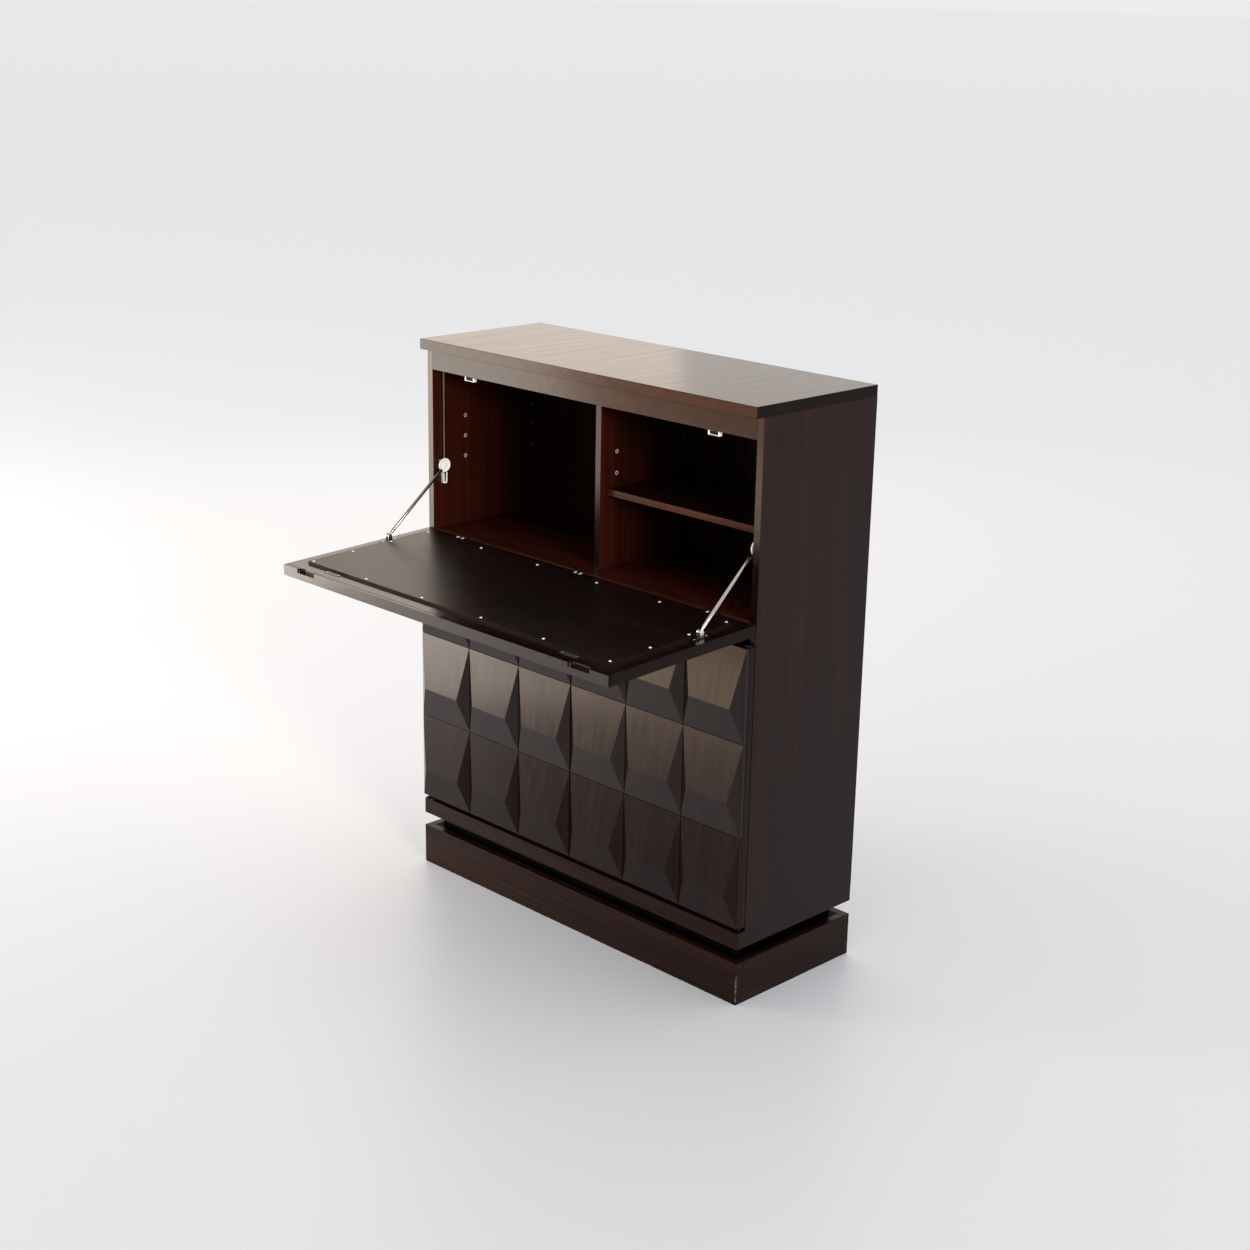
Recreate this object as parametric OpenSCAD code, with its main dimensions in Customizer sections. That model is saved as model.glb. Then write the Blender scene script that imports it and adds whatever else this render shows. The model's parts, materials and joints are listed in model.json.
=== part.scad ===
// Bar cabinet on a plinth: a drop flap over the upper compartment, two relief doors below.
// Millimetres. Origin on the floor under the middle of the plinth, +Y to the back, +Z up.
// The flap is drawn open, as it stands in use, and the doors are drawn shut.

/* [Carcass] */
// Width over the side panels
body_w = 1118; // [800:1:1500]
// Depth of the top board, base board and plinth
body_d = 404; // [340:1:600]
// Height of the plinth
plinth_h = 105; // [90:1:200]
// Height of the set-back neck above the plinth
neck_h = 35; // [15:1:80]
// How far the neck stands in from the plinth on every side
neck_inset = 35; // [25:1:60]
// Thickness of the base board
base_t = 40; // [20:1:60]
// Thickness of the top board
top_t = 26; // [18:1:50]
// Thickness of the side panels
side_t = 18; // [16:1:25]
// How far the side panels stand behind the front edges of the top and base
front_setback = 24; // [20:1:40]
// Thickness of the plinth and neck boards
plinth_board_t = 20; // [16:1:24]
// Thickness of the back panels
back_t = 8; // [4:1:10]
// How far the back panels lie inside the rear edges
back_inset = 4; // [3.5:0.5:8]

/* [Doors] */
// Width of the gap between the base board and the doors
door_low_gap = 12.5; // [10:0.5:25]
// Height of one row of relief blocks
row_h = 224; // [180:1:260]
// Rows of relief blocks on a door
door_rows = 3; // [2:1:4]
// Columns of relief blocks on a door
door_cols = 3; // [2:1:5]
// Thickness of the board behind the relief blocks
door_slab_t = 18; // [17:1:24]
// Thickness of a relief block at its edges
block_base_t = 7; // [4:0.5:12]
// Height of the ridge above the block's edges
relief_h = 18.5; // [8:0.5:30]
// Distance from the side of a block to the end of its ridge
ridge_inset = 30; // [15:1:45]
// Height of the ridge above the foot of its block
ridge_up = 80; // [40:1:130]
// Width of the joint between two blocks
block_gap = 1.2; // [0.6:0.1:3]
// Width of the gap where the doors meet
meet_gap = 2; // [1.5:0.5:4]
// Gap between a shut door and the carcass
door_back_gap = 2; // [2:0.1:3]

/* [Flap] */
// Length of the flap from its hinged edge to its free edge
flap_l = 450; // [448:1:520]
// Thickness of the flap
flap_t = 26; // [20:1:30]
// Droop of the open flap, in degrees below level
flap_droop = 2; // [0:0.5:3]
// Gap between the shut flap and the carcass
flap_back_gap = 1.5; // [1.5:0.1:2.5]
// Space between the door tops and the compartment floor's surface
middle_gap = 50.5; // [50:0.5:70]
// Space between the shut flap and the top board
flap_top_gap = 8; // [7:0.5:15]
// Thickness of the liner panel on the flap
liner_t = 6; // [3:0.5:6]
// Space between the liner panel and the side panels, measured across
liner_side = 19; // [18:1:40]
// Margin between the liner panel and the flap's free edge
liner_front = 46; // [45:1:60]
// Margin between the liner panel and the flap's hinged edge
liner_rear = 23; // [15:1:40]
// Width of a finger notch
notch_w = 66; // [40:1:90]
// Depth of a finger notch, through the flap's thickness
notch_deep = 10; // [6:0.5:14]
// How far a finger notch reaches in from the free edge
notch_in = 12; // [8:0.5:18]
// Distance of a finger notch's middle from the end of the flap
notch_side = 88; // [70:1:130]

/* [Upper compartment] */
// Thickness of the compartment floor
floor_t = 22; // [18:1:26]
// Depth of the edge strip on the compartment floor
strip_d = 10; // [6:1:20]
// Height of the rail under the top board
rail_h = 51.5; // [45:0.5:52.5]
// Thickness of that rail
rail_t = 18; // [18:1:22]
// Thickness of the upright divider
divider_t = 17; // [17:1:22]
// How far the divider stands behind the carcass front
divider_setback = 53; // [40:1:100]
// Height of the upper shelf's underside above the compartment floor
shelf_up = 177; // [140:1:220]
// Thickness of the shelves
shelf_t = 16; // [14:1:22]
// How far the upper shelf stands behind the carcass front
shelf_setback = 75; // [60:1:100]
// Height step of the shelf holes
hole_step = 52; // [32:0.5:64]
// Rows of shelf holes
hole_rows = 3; // [1:1:4]
// Distance of the front shelf holes behind the carcass front
hole_front = 106; // [100:1:130]
// Distance of the rear shelf holes from the back panels
hole_rear = 34; // [25:1:60]

/* [Lower compartment] */
// Thickness of the middle partition
partition_t = 18; // [18:1:24]
// Height of the lower shelves' underside above the base board
low_shelf_up = 330; // [200:1:420]
// How far the lower shelves stand behind the carcass front
low_shelf_setback = 32; // [30:1:80]

/* [Stays] */
// Distance of the stay's foot from the flap's hinge line
stay_foot = 150; // [140:1:150]
// Height of the foot's pivot above the flap
stay_pivot_h = 14; // [14:0.5:16]
// Distance of the slider's pivot behind the carcass front
stay_slider_in = 26; // [24:0.5:30]
// Height of the slider's pivot above the compartment floor, flap open
stay_slider_up = 163; // [155:1:163]
// Diameter of the stay arm and of the upright rod
rod_d = 8; // [6:0.5:9]
// Diameter of the brake disc
disc_d = 38; // [28:1:42]
// Thickness of the brake disc
disc_t = 13; // [12:0.5:14]

/* [Fittings] */
// Length of a flap hinge
hinge_l = 40; // [30:1:60]
// Diameter of a flap hinge's barrel
barrel_d = 7; // [5:0.5:8]
// Thickness of the hinge leaves
leaf_t = 1; // [0.8:0.1:1]
// Distance of the outer flap hinges from the ends of the flap
hinge_side = 131; // [60:1:250]
// Width of the magnetic catches
catch_w = 50; // [40:1:60]
// Distance of the flap catches from the ends of the flap
catch_side = 151; // [120:1:250]
// Diameter of a door's pivot pins
pivot_d = 6; // [5:0.5:7]
// Distance of a door's pivot from its back
pivot_in = 11; // [10:0.5:12]
// Diameter of the shelf pins
pin_d = 5; // [4:0.5:6]
// Diameter of the wood screws' shanks
screw_d = 3.6; // [3:0.2:4]

/* [Hidden] */

// Clearance of a pin or screw in its hole, on the radius
fit = 0.05;
// Clearance between a let-in piece and its recess
let_in = 0.2;
// Clearance between pieces that pass each other
pass = 0.4;
// How far a cut runs past the surface it opens
over = 1;
// Roundness of pins and bores
round_fn = 48;

half_w = body_w / 2;
front_y = -body_d / 2;
back_y = body_d / 2;
inner_x = half_w - side_t;
carcass_y = front_y + front_setback;
panel_y = back_y - back_inset - back_t;

neck_z = plinth_h;
base_z = plinth_h + neck_h;
lower_z = base_z + base_t;
door_z = lower_z + door_low_gap;
door_h = row_h * door_rows;
floor_z = door_z + door_h + middle_gap;
flap_edge = 1;
under_top_z = floor_z + flap_edge + flap_l + flap_top_gap;
rail_z = under_top_z - rail_h;

// Plinth and neck
block_side = 36;
plinth_panel_t = 16;
brace_t = 18;

// Rebate for the back panels
rebate_w = 9;
panel_half_w = inner_x + rebate_w - let_in;
panel_split_z = floor_z - floor_t / 2;

// Screws of the back panels
back_screw_l = 24;
back_head_d = 7;
back_head_t = 2.5;
back_screw_x = inner_x + rebate_w / 2;
back_screw_end = 40;
upper_screw_count = 3;
lower_screw_count = 4;

// Shelf holes and bushes
bush_d = 8;
bush_l = 8;
bush_rim_d = 10;
bush_rim_t = 0.8;
pin_l = 15;
shelf_side_gap = 1;
shelf_rest = 0.1;
hole_ys = [carcass_y + hole_front, panel_y - hole_rear];
upper_shelf_z = floor_z + shelf_up;
upper_pin_z = upper_shelf_z - shelf_rest - pin_d / 2;
low_shelf_z = lower_z + low_shelf_up;
low_pin_z = low_shelf_z - shelf_rest - pin_d / 2;

// Hinge line of the flap
hinge_y = carcass_y - flap_back_gap;
hinge_z = floor_z;
hinge_x = half_w - hinge_side;
hinge_xs = [-hinge_x, 0, hinge_x];
leaf_h = 18;
hinge_pin_d = 3;
knuckle_gap = 4;
barrel_room_d = barrel_d + 2 * pass;

// Finger notches
notch_x = half_w - notch_side;

// Liner screws
liner_half_w = inner_x - liner_side;
liner_start = flap_edge + liner_rear;
liner_end = flap_edge + flap_l - liner_front;
liner_screw_edge = 12;
liner_screw_rear = 19;
liner_screw_front = 8;
liner_screw_l = 18;
liner_head_d = 8;
liner_head_t = 1;
liner_long_count = 6;
liner_short_count = 4;

// Catches of the flap
strike_h = 12;
strike_t = 1;
strike_edge = 28;
catch_x = half_w - catch_side;
catch_rim = 3;
catch_drop = 10.5;
catch_up = 15.5;
catch_h = catch_drop + catch_up;
catch_d = 16;
catch_ear = 8;
catch_body_w = catch_w - 2 * catch_ear;
catch_flange_t = 1.5;
catch_slot_w = 20;
catch_slot_h = 4;
catch_slot_d = 5;
rail_skin = 2;
magnet_w_share = 0.6;
magnet_h = 6;
magnet_t = 4;
catch_z = rail_z - catch_drop;

// Catches of the doors
door_catch_w = 12;
door_catch_d = 28;
door_catch_h = 24;
door_catch_down = 36;
door_catch_out = 0.2;
door_magnet_w = 6;
door_catch_z = door_z + door_h - door_catch_down;

// Stay of the flap
stay_wall_gap = 0.3;
rod_side = 6;
rod_in = 31;
rod_x = inner_x - rod_side;
rod_y = carcass_y + rod_in;
slider_t = 10.5;
slider_outer_x = inner_x - stay_wall_gap;
slider_inner_x = slider_outer_x - slider_t;
slider_back = 7;
slider_front = 7;
slider_h = 24;
disc_outer_x = slider_inner_x - pass;
disc_inner_x = disc_outer_x - disc_t;
disc_rim = 3.5;
disc_dish = 1;
foot_w = 13.5;
foot_t = 2;
foot_l = 50;
foot_side_gap = 1.5;
foot_outer_x = inner_x - foot_side_gap;
lug_x = foot_outer_x - foot_w;
arm_over_rod = 1;
arm_t = rod_d + arm_over_rod;
arm_x = lug_x - pass - arm_t / 2;
arm_eye_d = 15;
lug_t = 3;
lug_l = 14;
foot_pin_d = 5;
foot_pin_head_d = 8;
foot_pin_head_t = 1.2;
slider_y = carcass_y + stay_slider_in;
slider_z = floor_z + stay_slider_up;
holder_w = 14;
holder_top_t = 8;
holder_low_h = 28;
holder_low_drop = 20;
holder_slot_up = 4;
holder_slot_w = 5;
holder_slot_d = 5;
holder_slot_h = 15;
holder_low_z = slider_z - holder_low_drop - holder_low_h;
holder_slot_z = holder_low_z + holder_slot_up;
rod_low_z = holder_slot_z + holder_slot_h + fit;
holder_top_z = rail_z - holder_top_t;

// Place of the stay's foot pivot with the flap open
foot_pivot_y = hinge_y - stay_foot * cos(flap_droop) - stay_pivot_h * sin(flap_droop);
foot_pivot_z = hinge_z - stay_foot * sin(flap_droop) + stay_pivot_h * cos(flap_droop);
arm_dy = slider_y - foot_pivot_y;
arm_dz = slider_z - foot_pivot_z;
arm_l = sqrt(arm_dy * arm_dy + arm_dz * arm_dz);
arm_tilt = atan2(arm_dz, arm_dy);

// Doors and their pivots
door_back_y = carcass_y - door_back_gap;
door_half_gap = meet_gap / 2;
door_w = half_w - door_half_gap;
col_w = door_w / door_cols;
cup_d = 10;
cup_wall = 1;
pivot_side = cup_d / 2 + cup_wall;
pivot_x = half_w - pivot_side;
pivot_y = door_back_y - pivot_in;
cup_l = 14;
pivot_in_door = 11;
bracket_t = 2.5;
bracket_w = 13;
bracket_leg_h = 17;
bracket_leg_t = door_back_gap - pass / 2;
bracket_door_gap = 2.5;
bracket_nose = 7;
pivot_head_t = 1.2;

wood_out = "#3a2a26";
wood_in = "#6a3222";
edge_wood = "#7a4a34";
nickel = "#c9c8c4";
white_plastic = "#dedad0";
brass = "#b79a5c";
magnet_grey = "#3b3b3d";

// A box from its low corner to its high corner
module box(low, high) {
    translate(low) cube(high - low);
}

// Children drawn on the right and mirrored to the left
module both_sides() {
    children();
    mirror([1, 0, 0]) children();
}

// The frame of the open flap: +X along the hinge, -Y to the free edge, +Z off the inner face
module on_flap() {
    translate([0, hinge_y, hinge_z]) rotate([flap_droop, 0, 0]) children();
}

// A round bar along X, centred
module bar_x(d, l) {
    rotate([0, 90, 0]) cylinder(d = d, h = l, center = true, $fn = round_fn);
}

// A round bar along +Y from the origin
module bar_y(d, l) {
    rotate([-90, 0, 0]) cylinder(d = d, h = l, $fn = round_fn);
}

module plinth_front() {
    color(wood_out) box([-half_w, front_y, 0], [half_w, front_y + plinth_board_t, plinth_h]);
}

module plinth_back() {
    color(wood_out) box([-half_w, back_y - plinth_board_t, 0], [half_w, back_y, plinth_h]);
}

module plinth_end() {
    box([half_w - plinth_board_t, front_y + plinth_board_t, 0],
        [half_w, back_y - plinth_board_t, plinth_h]);
}

module plinth_left() {
    color(wood_out) mirror([1, 0, 0]) plinth_end();
}

module plinth_right() {
    color(wood_out) plinth_end();
}

module plinth_brace() {
    color(edge_wood) box([-brace_t / 2, front_y + plinth_board_t, 0],
                         [brace_t / 2, back_y - plinth_board_t, plinth_h - plinth_panel_t]);
}

module plinth_top_panel() {
    x = half_w - plinth_board_t;
    y = back_y - plinth_board_t;
    color(wood_out) box([-x, -y, plinth_h - plinth_panel_t], [x, y, plinth_h]);
}

module plinth_corner_blocks() {
    corner_x = half_w - plinth_board_t - block_side;
    corner_y = back_y - plinth_board_t - block_side;
    color(edge_wood)
        both_sides()
            for (y = [-corner_y - block_side, corner_y])
                box([corner_x, y, 0], [corner_x + block_side, y + block_side, plinth_h - plinth_panel_t]);
}

module neck_long_boards() {
    x = half_w - neck_inset;
    y = back_y - neck_inset - plinth_board_t;
    color(wood_out)
        for (y_low = [-y - plinth_board_t, y])
            box([-x, y_low, neck_z], [x, y_low + plinth_board_t, base_z]);
}

module neck_short_boards() {
    x = half_w - neck_inset;
    y = back_y - neck_inset - plinth_board_t;
    color(wood_out)
        both_sides() box([x - plinth_board_t, -y, neck_z], [x, y, base_z]);
}

module base_board() {
    color(wood_out) box([-half_w, front_y, base_z], [half_w, back_y, lower_z]);
}

module top_board() {
    color(wood_out) box([-half_w, front_y, under_top_z], [half_w, back_y, under_top_z + top_t]);
}

// Heights of the screws that hold the back panels to the sides
function spread(low, high, count) = [for (i = [0 : count - 1]) low + (high - low) * i / (count - 1)];
upper_screw_zs = spread(panel_split_z + back_screw_end, under_top_z - back_screw_end, upper_screw_count);
lower_screw_zs = spread(lower_z + back_screw_end, panel_split_z - back_screw_end, lower_screw_count);
side_screw_zs = concat(upper_screw_zs, lower_screw_zs);
floor_screw_xs = [-inner_x / 2, 0, inner_x / 2];
floor_screw_zs = [panel_split_z - floor_t / 4, panel_split_z + floor_t / 4];

// Room for the shanks of the back panels' screws
module back_screw_holes() {
    hole_d = screw_d + 2 * fit;
    y = panel_y - back_screw_l + back_t - over;
    for (z = side_screw_zs)
        both_sides() translate([back_screw_x, y, z]) bar_y(hole_d, back_screw_l + 2 * over);
    for (x = floor_screw_xs, z = floor_screw_zs)
        translate([x, y, z]) bar_y(hole_d, back_screw_l + 2 * over);
}

// Blind holes along X for bushes: the mouth lies at x, and the hole runs away from it
module socket(d, deep, x, y, z, way) {
    translate([x + way * (deep - over) / 2, y, z]) bar_x(d, deep + over);
}

module bush_holes(x, way) {
    for (y = hole_ys, i = [0 : hole_rows - 1])
        socket(bush_d + 2 * fit, bush_l + fit, x, y, upper_pin_z + i * hole_step, way);
}

module pin_holes(x, way) {
    for (y = hole_ys)
        socket(pin_d + 2 * fit, pin_l / 2 + fit, x, y, low_pin_z, way);
}

module side_panel() {
    difference() {
        box([inner_x, carcass_y, lower_z], [half_w, back_y, under_top_z]);
        box([inner_x - over, panel_y, lower_z - over],
            [inner_x + rebate_w, back_y + over, under_top_z + over]);
        bush_holes(inner_x, 1);
        pin_holes(inner_x, 1);
        back_screw_holes();
    }
}

module left_side() {
    color(wood_out) mirror([1, 0, 0]) side_panel();
}

module right_side() {
    color(wood_out) side_panel();
}

module top_rail() {
    notch = catch_body_w / 2 + let_in;
    color(wood_out) difference() {
        box([-inner_x, carcass_y, rail_z], [inner_x, carcass_y + rail_t, under_top_z]);
        both_sides()
            box([catch_x - notch, carcass_y + rail_skin, rail_z - over],
                [catch_x + notch, carcass_y + rail_t + over, catch_z + catch_h + let_in]);
    }
}

module compartment_floor() {
    color(wood_in) difference() {
        box([-inner_x, carcass_y + strip_d, floor_z - floor_t], [inner_x, panel_y, floor_z]);
        back_screw_holes();
    }
}

module floor_edge_strip() {
    color(edge_wood) difference() {
        box([-inner_x, carcass_y, floor_z - floor_t], [inner_x, carcass_y + strip_d, floor_z]);
        for (x = hinge_xs)
            translate([x, hinge_y, hinge_z]) bar_x(barrel_room_d, hinge_l + 2 * let_in);
    }
}

module compartment_divider() {
    color(wood_in) difference() {
        box([-divider_t / 2, carcass_y + divider_setback, floor_z],
            [divider_t / 2, panel_y, under_top_z]);
        bush_holes(divider_t / 2, -1);
        bush_holes(-divider_t / 2, 1);
    }
}

module back_panel(z_low, z_high) {
    color(wood_in) difference() {
        box([-panel_half_w, panel_y, z_low], [panel_half_w, panel_y + back_t, z_high]);
        back_screw_holes();
    }
}

module upper_back_panel() {
    back_panel(panel_split_z, under_top_z);
}

module lower_back_panel() {
    back_panel(lower_z, panel_split_z);
}

module back_screw() {
    bar_y(screw_d, back_screw_l);
    translate([0, back_screw_l, 0]) bar_y(back_head_d, back_head_t);
}

module back_panel_screws() {
    y = panel_y + back_t - back_screw_l;
    color(nickel) {
        for (z = side_screw_zs)
            both_sides() translate([back_screw_x, y, z]) back_screw();
        for (x = floor_screw_xs, z = floor_screw_zs)
            translate([x, y, z]) back_screw();
    }
}

// A shelf between two upright faces
module shelf(x_low, x_high, y_low, z) {
    color(wood_in) box([x_low + shelf_side_gap, y_low, z],
                       [x_high - shelf_side_gap, panel_y - shelf_side_gap, z + shelf_t]);
}

module upper_shelf() {
    shelf(divider_t / 2, inner_x, carcass_y + shelf_setback, upper_shelf_z);
}

module lower_left_shelf() {
    shelf(-inner_x, -partition_t / 2, carcass_y + low_shelf_setback, low_shelf_z);
}

module lower_right_shelf() {
    shelf(partition_t / 2, inner_x, carcass_y + low_shelf_setback, low_shelf_z);
}

// A shelf pin whose middle lies at the mouth of its hole
module shelf_pin(x, y, z) {
    translate([x, y, z]) bar_x(pin_d, pin_l);
}

module upper_shelf_pins() {
    color(nickel)
        for (x = [divider_t / 2, inner_x], y = hole_ys)
            shelf_pin(x, y, upper_pin_z);
}

module lower_shelf_pins() {
    color(nickel)
        for (x = [partition_t / 2, inner_x], y = hole_ys)
            both_sides() shelf_pin(x, y, low_pin_z);
}

module bushes(x, way) {
    bore_d = pin_d + 2 * fit;
    for (y = hole_ys, i = [0 : hole_rows - 1])
        difference() {
            z = upper_pin_z + i * hole_step;
            union() {
                translate([x + way * bush_l / 2, y, z]) bar_x(bush_d, bush_l);
                translate([x - way * bush_rim_t / 2, y, z]) bar_x(bush_rim_d, bush_rim_t);
            }
            translate([x, y, z]) bar_x(bore_d, 2 * (bush_l + over));
        }
}

module shelf_hole_bushes() {
    color(nickel) {
        bushes(inner_x, 1);
        bushes(-inner_x, -1);
        bushes(divider_t / 2, -1);
        bushes(-divider_t / 2, 1);
    }
}

module lower_partition() {
    color(wood_in) difference() {
        box([-partition_t / 2, carcass_y, lower_z], [partition_t / 2, panel_y, floor_z - floor_t]);
        pin_holes(partition_t / 2, -1);
        pin_holes(-partition_t / 2, 1);
    }
}

// Places of the liner's screws: x across the flap, then distance from the hinge line
liner_last_x = liner_half_w - liner_screw_edge;
liner_screw_xs = spread(-liner_last_x, liner_last_x, liner_long_count);
liner_screw_ss = spread(liner_start + liner_screw_rear, liner_end - liner_screw_front,
                        liner_short_count);
liner_screw_places = concat(
    [for (x = liner_screw_xs, i = [0, liner_short_count - 1]) [x, liner_screw_ss[i]]],
    [for (x = [-liner_last_x, liner_last_x], i = [1 : liner_short_count - 2]) [x, liner_screw_ss[i]]]);

// Room for the liner's screws
module liner_screw_holes() {
    for (place = liner_screw_places)
        translate([place[0], -place[1], -liner_screw_l])
            cylinder(d = screw_d + 2 * fit, h = 2 * liner_screw_l, $fn = round_fn);
}

module flap_panel() {
    free_edge = flap_edge + flap_l;
    notch = notch_w / 2 - notch_in;
    color(wood_out) on_flap() difference() {
        box([-half_w, -free_edge, -flap_t], [half_w, -flap_edge, 0]);
        both_sides()
            translate([notch_x, -free_edge, -notch_deep]) {
                box([-notch, -over, 0], [notch, notch_in, notch_deep + over]);
                for (x = [-notch, notch])
                    translate([x, 0, 0])
                        cylinder(r = notch_in, h = notch_deep + over, $fn = round_fn);
            }
        for (x = hinge_xs) {
            translate([x, 0, 0]) bar_x(barrel_room_d, hinge_l + 2 * let_in);
            box([x - hinge_l / 2 - let_in, -flap_edge - leaf_t - let_in, -leaf_h - let_in],
                [x + hinge_l / 2 + let_in, 0, over]);
        }
        liner_screw_holes();
    }
}

module flap_liner() {
    color(wood_in) on_flap() difference() {
        box([-liner_half_w, -liner_end, 0], [liner_half_w, -liner_start, liner_t]);
        liner_screw_holes();
    }
}

module liner_screws() {
    shank = liner_screw_l - over;
    color(nickel) on_flap()
        for (place = liner_screw_places)
            translate([place[0], -place[1], 0]) {
                translate([0, 0, liner_t - shank]) cylinder(d = screw_d, h = shank, $fn = round_fn);
                translate([0, 0, liner_t])
                    cylinder(d = liner_head_d, h = liner_head_t, $fn = round_fn);
            }
}

module flap_strike_plates() {
    s = flap_edge + flap_l - strike_edge;
    color(nickel) on_flap()
        both_sides()
            box([catch_x - catch_w / 2, -s, 0], [catch_x + catch_w / 2, -s + strike_h, strike_t]);
}

// A knuckle on the hinge line, from the hinge's middle to its right or left end
module knuckle(way) {
    l = (hinge_l - knuckle_gap) / 2;
    translate([way * (l + knuckle_gap) / 2, 0, 0]) bar_x(barrel_d, l);
}

// Room on the hinge line for the other leaf's knuckle and for the pin
module knuckle_room(way) {
    l = hinge_l / 2 + pass;
    translate([way * l / 2, 0, 0]) bar_x(barrel_room_d, l);
    bar_x(hinge_pin_d + 2 * fit, hinge_l + 2 * over);
}

module flap_hinge_leaves() {
    color(brass) on_flap()
        for (x = hinge_xs)
            translate([x, 0, 0]) difference() {
                union() {
                    knuckle(-1);
                    box([-hinge_l / 2, -flap_edge - leaf_t, -leaf_h], [hinge_l / 2, -flap_edge, 0]);
                }
                knuckle_room(1);
            }
}

module floor_hinge_leaves() {
    color(brass)
        for (x = hinge_xs)
            translate([x, hinge_y, hinge_z]) difference() {
                union() {
                    knuckle(1);
                    box([-hinge_l / 2, flap_back_gap - leaf_t, -leaf_h], [hinge_l / 2, flap_back_gap, 0]);
                }
                knuckle_room(-1);
            }
}

module flap_hinge_pins() {
    color(brass)
        for (x = hinge_xs)
            translate([x, hinge_y, hinge_z]) bar_x(hinge_pin_d, hinge_l);
}

// Foot of a stay, screwed to the flap beside the liner
module stay_foot_plate() {
    difference() {
        union() {
            box([lug_x, -stay_foot - foot_l / 2, 0], [foot_outer_x, -stay_foot + foot_l / 2, foot_t]);
            box([lug_x, -stay_foot - lug_l / 2, 0], [lug_x + lug_t, -stay_foot + lug_l / 2, stay_pivot_h]);
            translate([lug_x + lug_t / 2, -stay_foot, stay_pivot_h]) bar_x(lug_l, lug_t);
        }
        translate([lug_x, -stay_foot, stay_pivot_h]) bar_x(foot_pin_d + 2 * fit, 2 * foot_w);
    }
}

module flap_stay_feet() {
    color(nickel) on_flap() both_sides() stay_foot_plate();
}

module stay_foot_pins() {
    outer = lug_x + lug_t;
    inner = arm_x - arm_t / 2 - pass;
    color(nickel) on_flap()
        both_sides() {
            translate([(outer + inner) / 2, -stay_foot, stay_pivot_h]) bar_x(foot_pin_d, outer - inner);
            translate([inner - foot_pin_head_t / 2, -stay_foot, stay_pivot_h])
                bar_x(foot_pin_head_d, foot_pin_head_t);
        }
}

// Arm of a stay: an eye on the flap's foot, a round rod and a brake disc at the slider
module stay_arm() {
    translate([0, foot_pivot_y, foot_pivot_z]) rotate([arm_tilt, 0, 0]) difference() {
        union() {
            translate([arm_x, 0, 0]) bar_x(arm_eye_d, arm_t);
            translate([arm_x, 0, 0]) bar_y(rod_d, arm_l);
            translate([(disc_inner_x + disc_outer_x) / 2, arm_l, 0]) bar_x(disc_d, disc_t);
        }
        translate([arm_x, 0, 0]) bar_x(foot_pin_d + 2 * fit, arm_t + 2 * over);
        translate([disc_inner_x, arm_l, 0]) bar_x(disc_d - 2 * disc_rim, 2 * disc_dish);
    }
}

module left_stay_arm() {
    color(nickel) mirror([1, 0, 0]) stay_arm();
}

module right_stay_arm() {
    color(nickel) stay_arm();
}

module stay_slider() {
    difference() {
        box([slider_inner_x, slider_y - slider_front, slider_z - slider_h / 2],
            [slider_outer_x, rod_y + slider_back, slider_z + slider_h / 2]);
        translate([rod_x, rod_y, slider_z])
            cylinder(d = rod_d + 2 * fit, h = slider_h + 2 * over, center = true, $fn = round_fn);
    }
}

module left_stay_slider() {
    color(white_plastic) mirror([1, 0, 0]) stay_slider();
}

module right_stay_slider() {
    color(white_plastic) stay_slider();
}

module stay_rods() {
    color(nickel)
        both_sides()
            translate([rod_x, rod_y, rod_low_z])
                cylinder(d = rod_d, h = rail_z - fit - rod_low_z, $fn = round_fn);
}

// Holders of the upright rod: a slotted block at its foot and a short block at its head
module stay_rod_holder() {
    difference() {
        union() {
            box([slider_inner_x, rod_y - holder_w / 2, holder_low_z],
                [inner_x, rod_y + holder_w / 2, holder_low_z + holder_low_h]);
            box([slider_inner_x, rod_y - holder_w / 2, holder_top_z],
                [inner_x, rod_y + holder_w / 2, rail_z]);
        }
        translate([rod_x, rod_y, holder_slot_z + holder_slot_h])
            cylinder(d = rod_d + 2 * fit, h = rail_z - holder_slot_z, $fn = round_fn);
        box([slider_inner_x - over, rod_y - holder_slot_w / 2, holder_slot_z],
            [slider_inner_x + holder_slot_d, rod_y + holder_slot_w / 2,
             holder_slot_z + holder_slot_h]);
    }
}

module stay_rod_holders() {
    color(nickel) both_sides() stay_rod_holder();
}

// The flap's catches: let into the rail behind a thin skin, and hanging a little below it
catch_magnet_z = catch_z + catch_h - catch_rim - magnet_h;
catch_front_y = carcass_y + rail_skin + let_in;
catch_low_y = carcass_y + liner_t;
catch_back_y = carcass_y + catch_d;
catch_magnet_half_w = catch_body_w * magnet_w_share / 2;

module flap_catch_housings() {
    half = catch_body_w / 2;
    pocket = catch_magnet_half_w + let_in;
    slot_z = catch_z + (catch_drop - catch_flange_t - catch_slot_h) / 2;
    color(white_plastic)
        both_sides()
            difference() {
                union() {
                    box([catch_x - half, catch_low_y, catch_z],
                        [catch_x + half, catch_back_y, catch_z + catch_h]);
                    box([catch_x - half, catch_front_y, rail_z],
                        [catch_x + half, catch_back_y, catch_z + catch_h]);
                    box([catch_x - catch_w / 2, catch_low_y, rail_z - catch_flange_t],
                        [catch_x + catch_w / 2, catch_back_y, rail_z]);
                }
                box([catch_x - pocket, catch_front_y - over, catch_magnet_z - let_in],
                    [catch_x + pocket, catch_front_y + magnet_t + let_in,
                     catch_magnet_z + magnet_h + let_in]);
                box([catch_x - catch_slot_w / 2, catch_low_y - over, slot_z],
                    [catch_x + catch_slot_w / 2, catch_low_y + catch_slot_d, slot_z + catch_slot_h]);
            }
}

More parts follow.
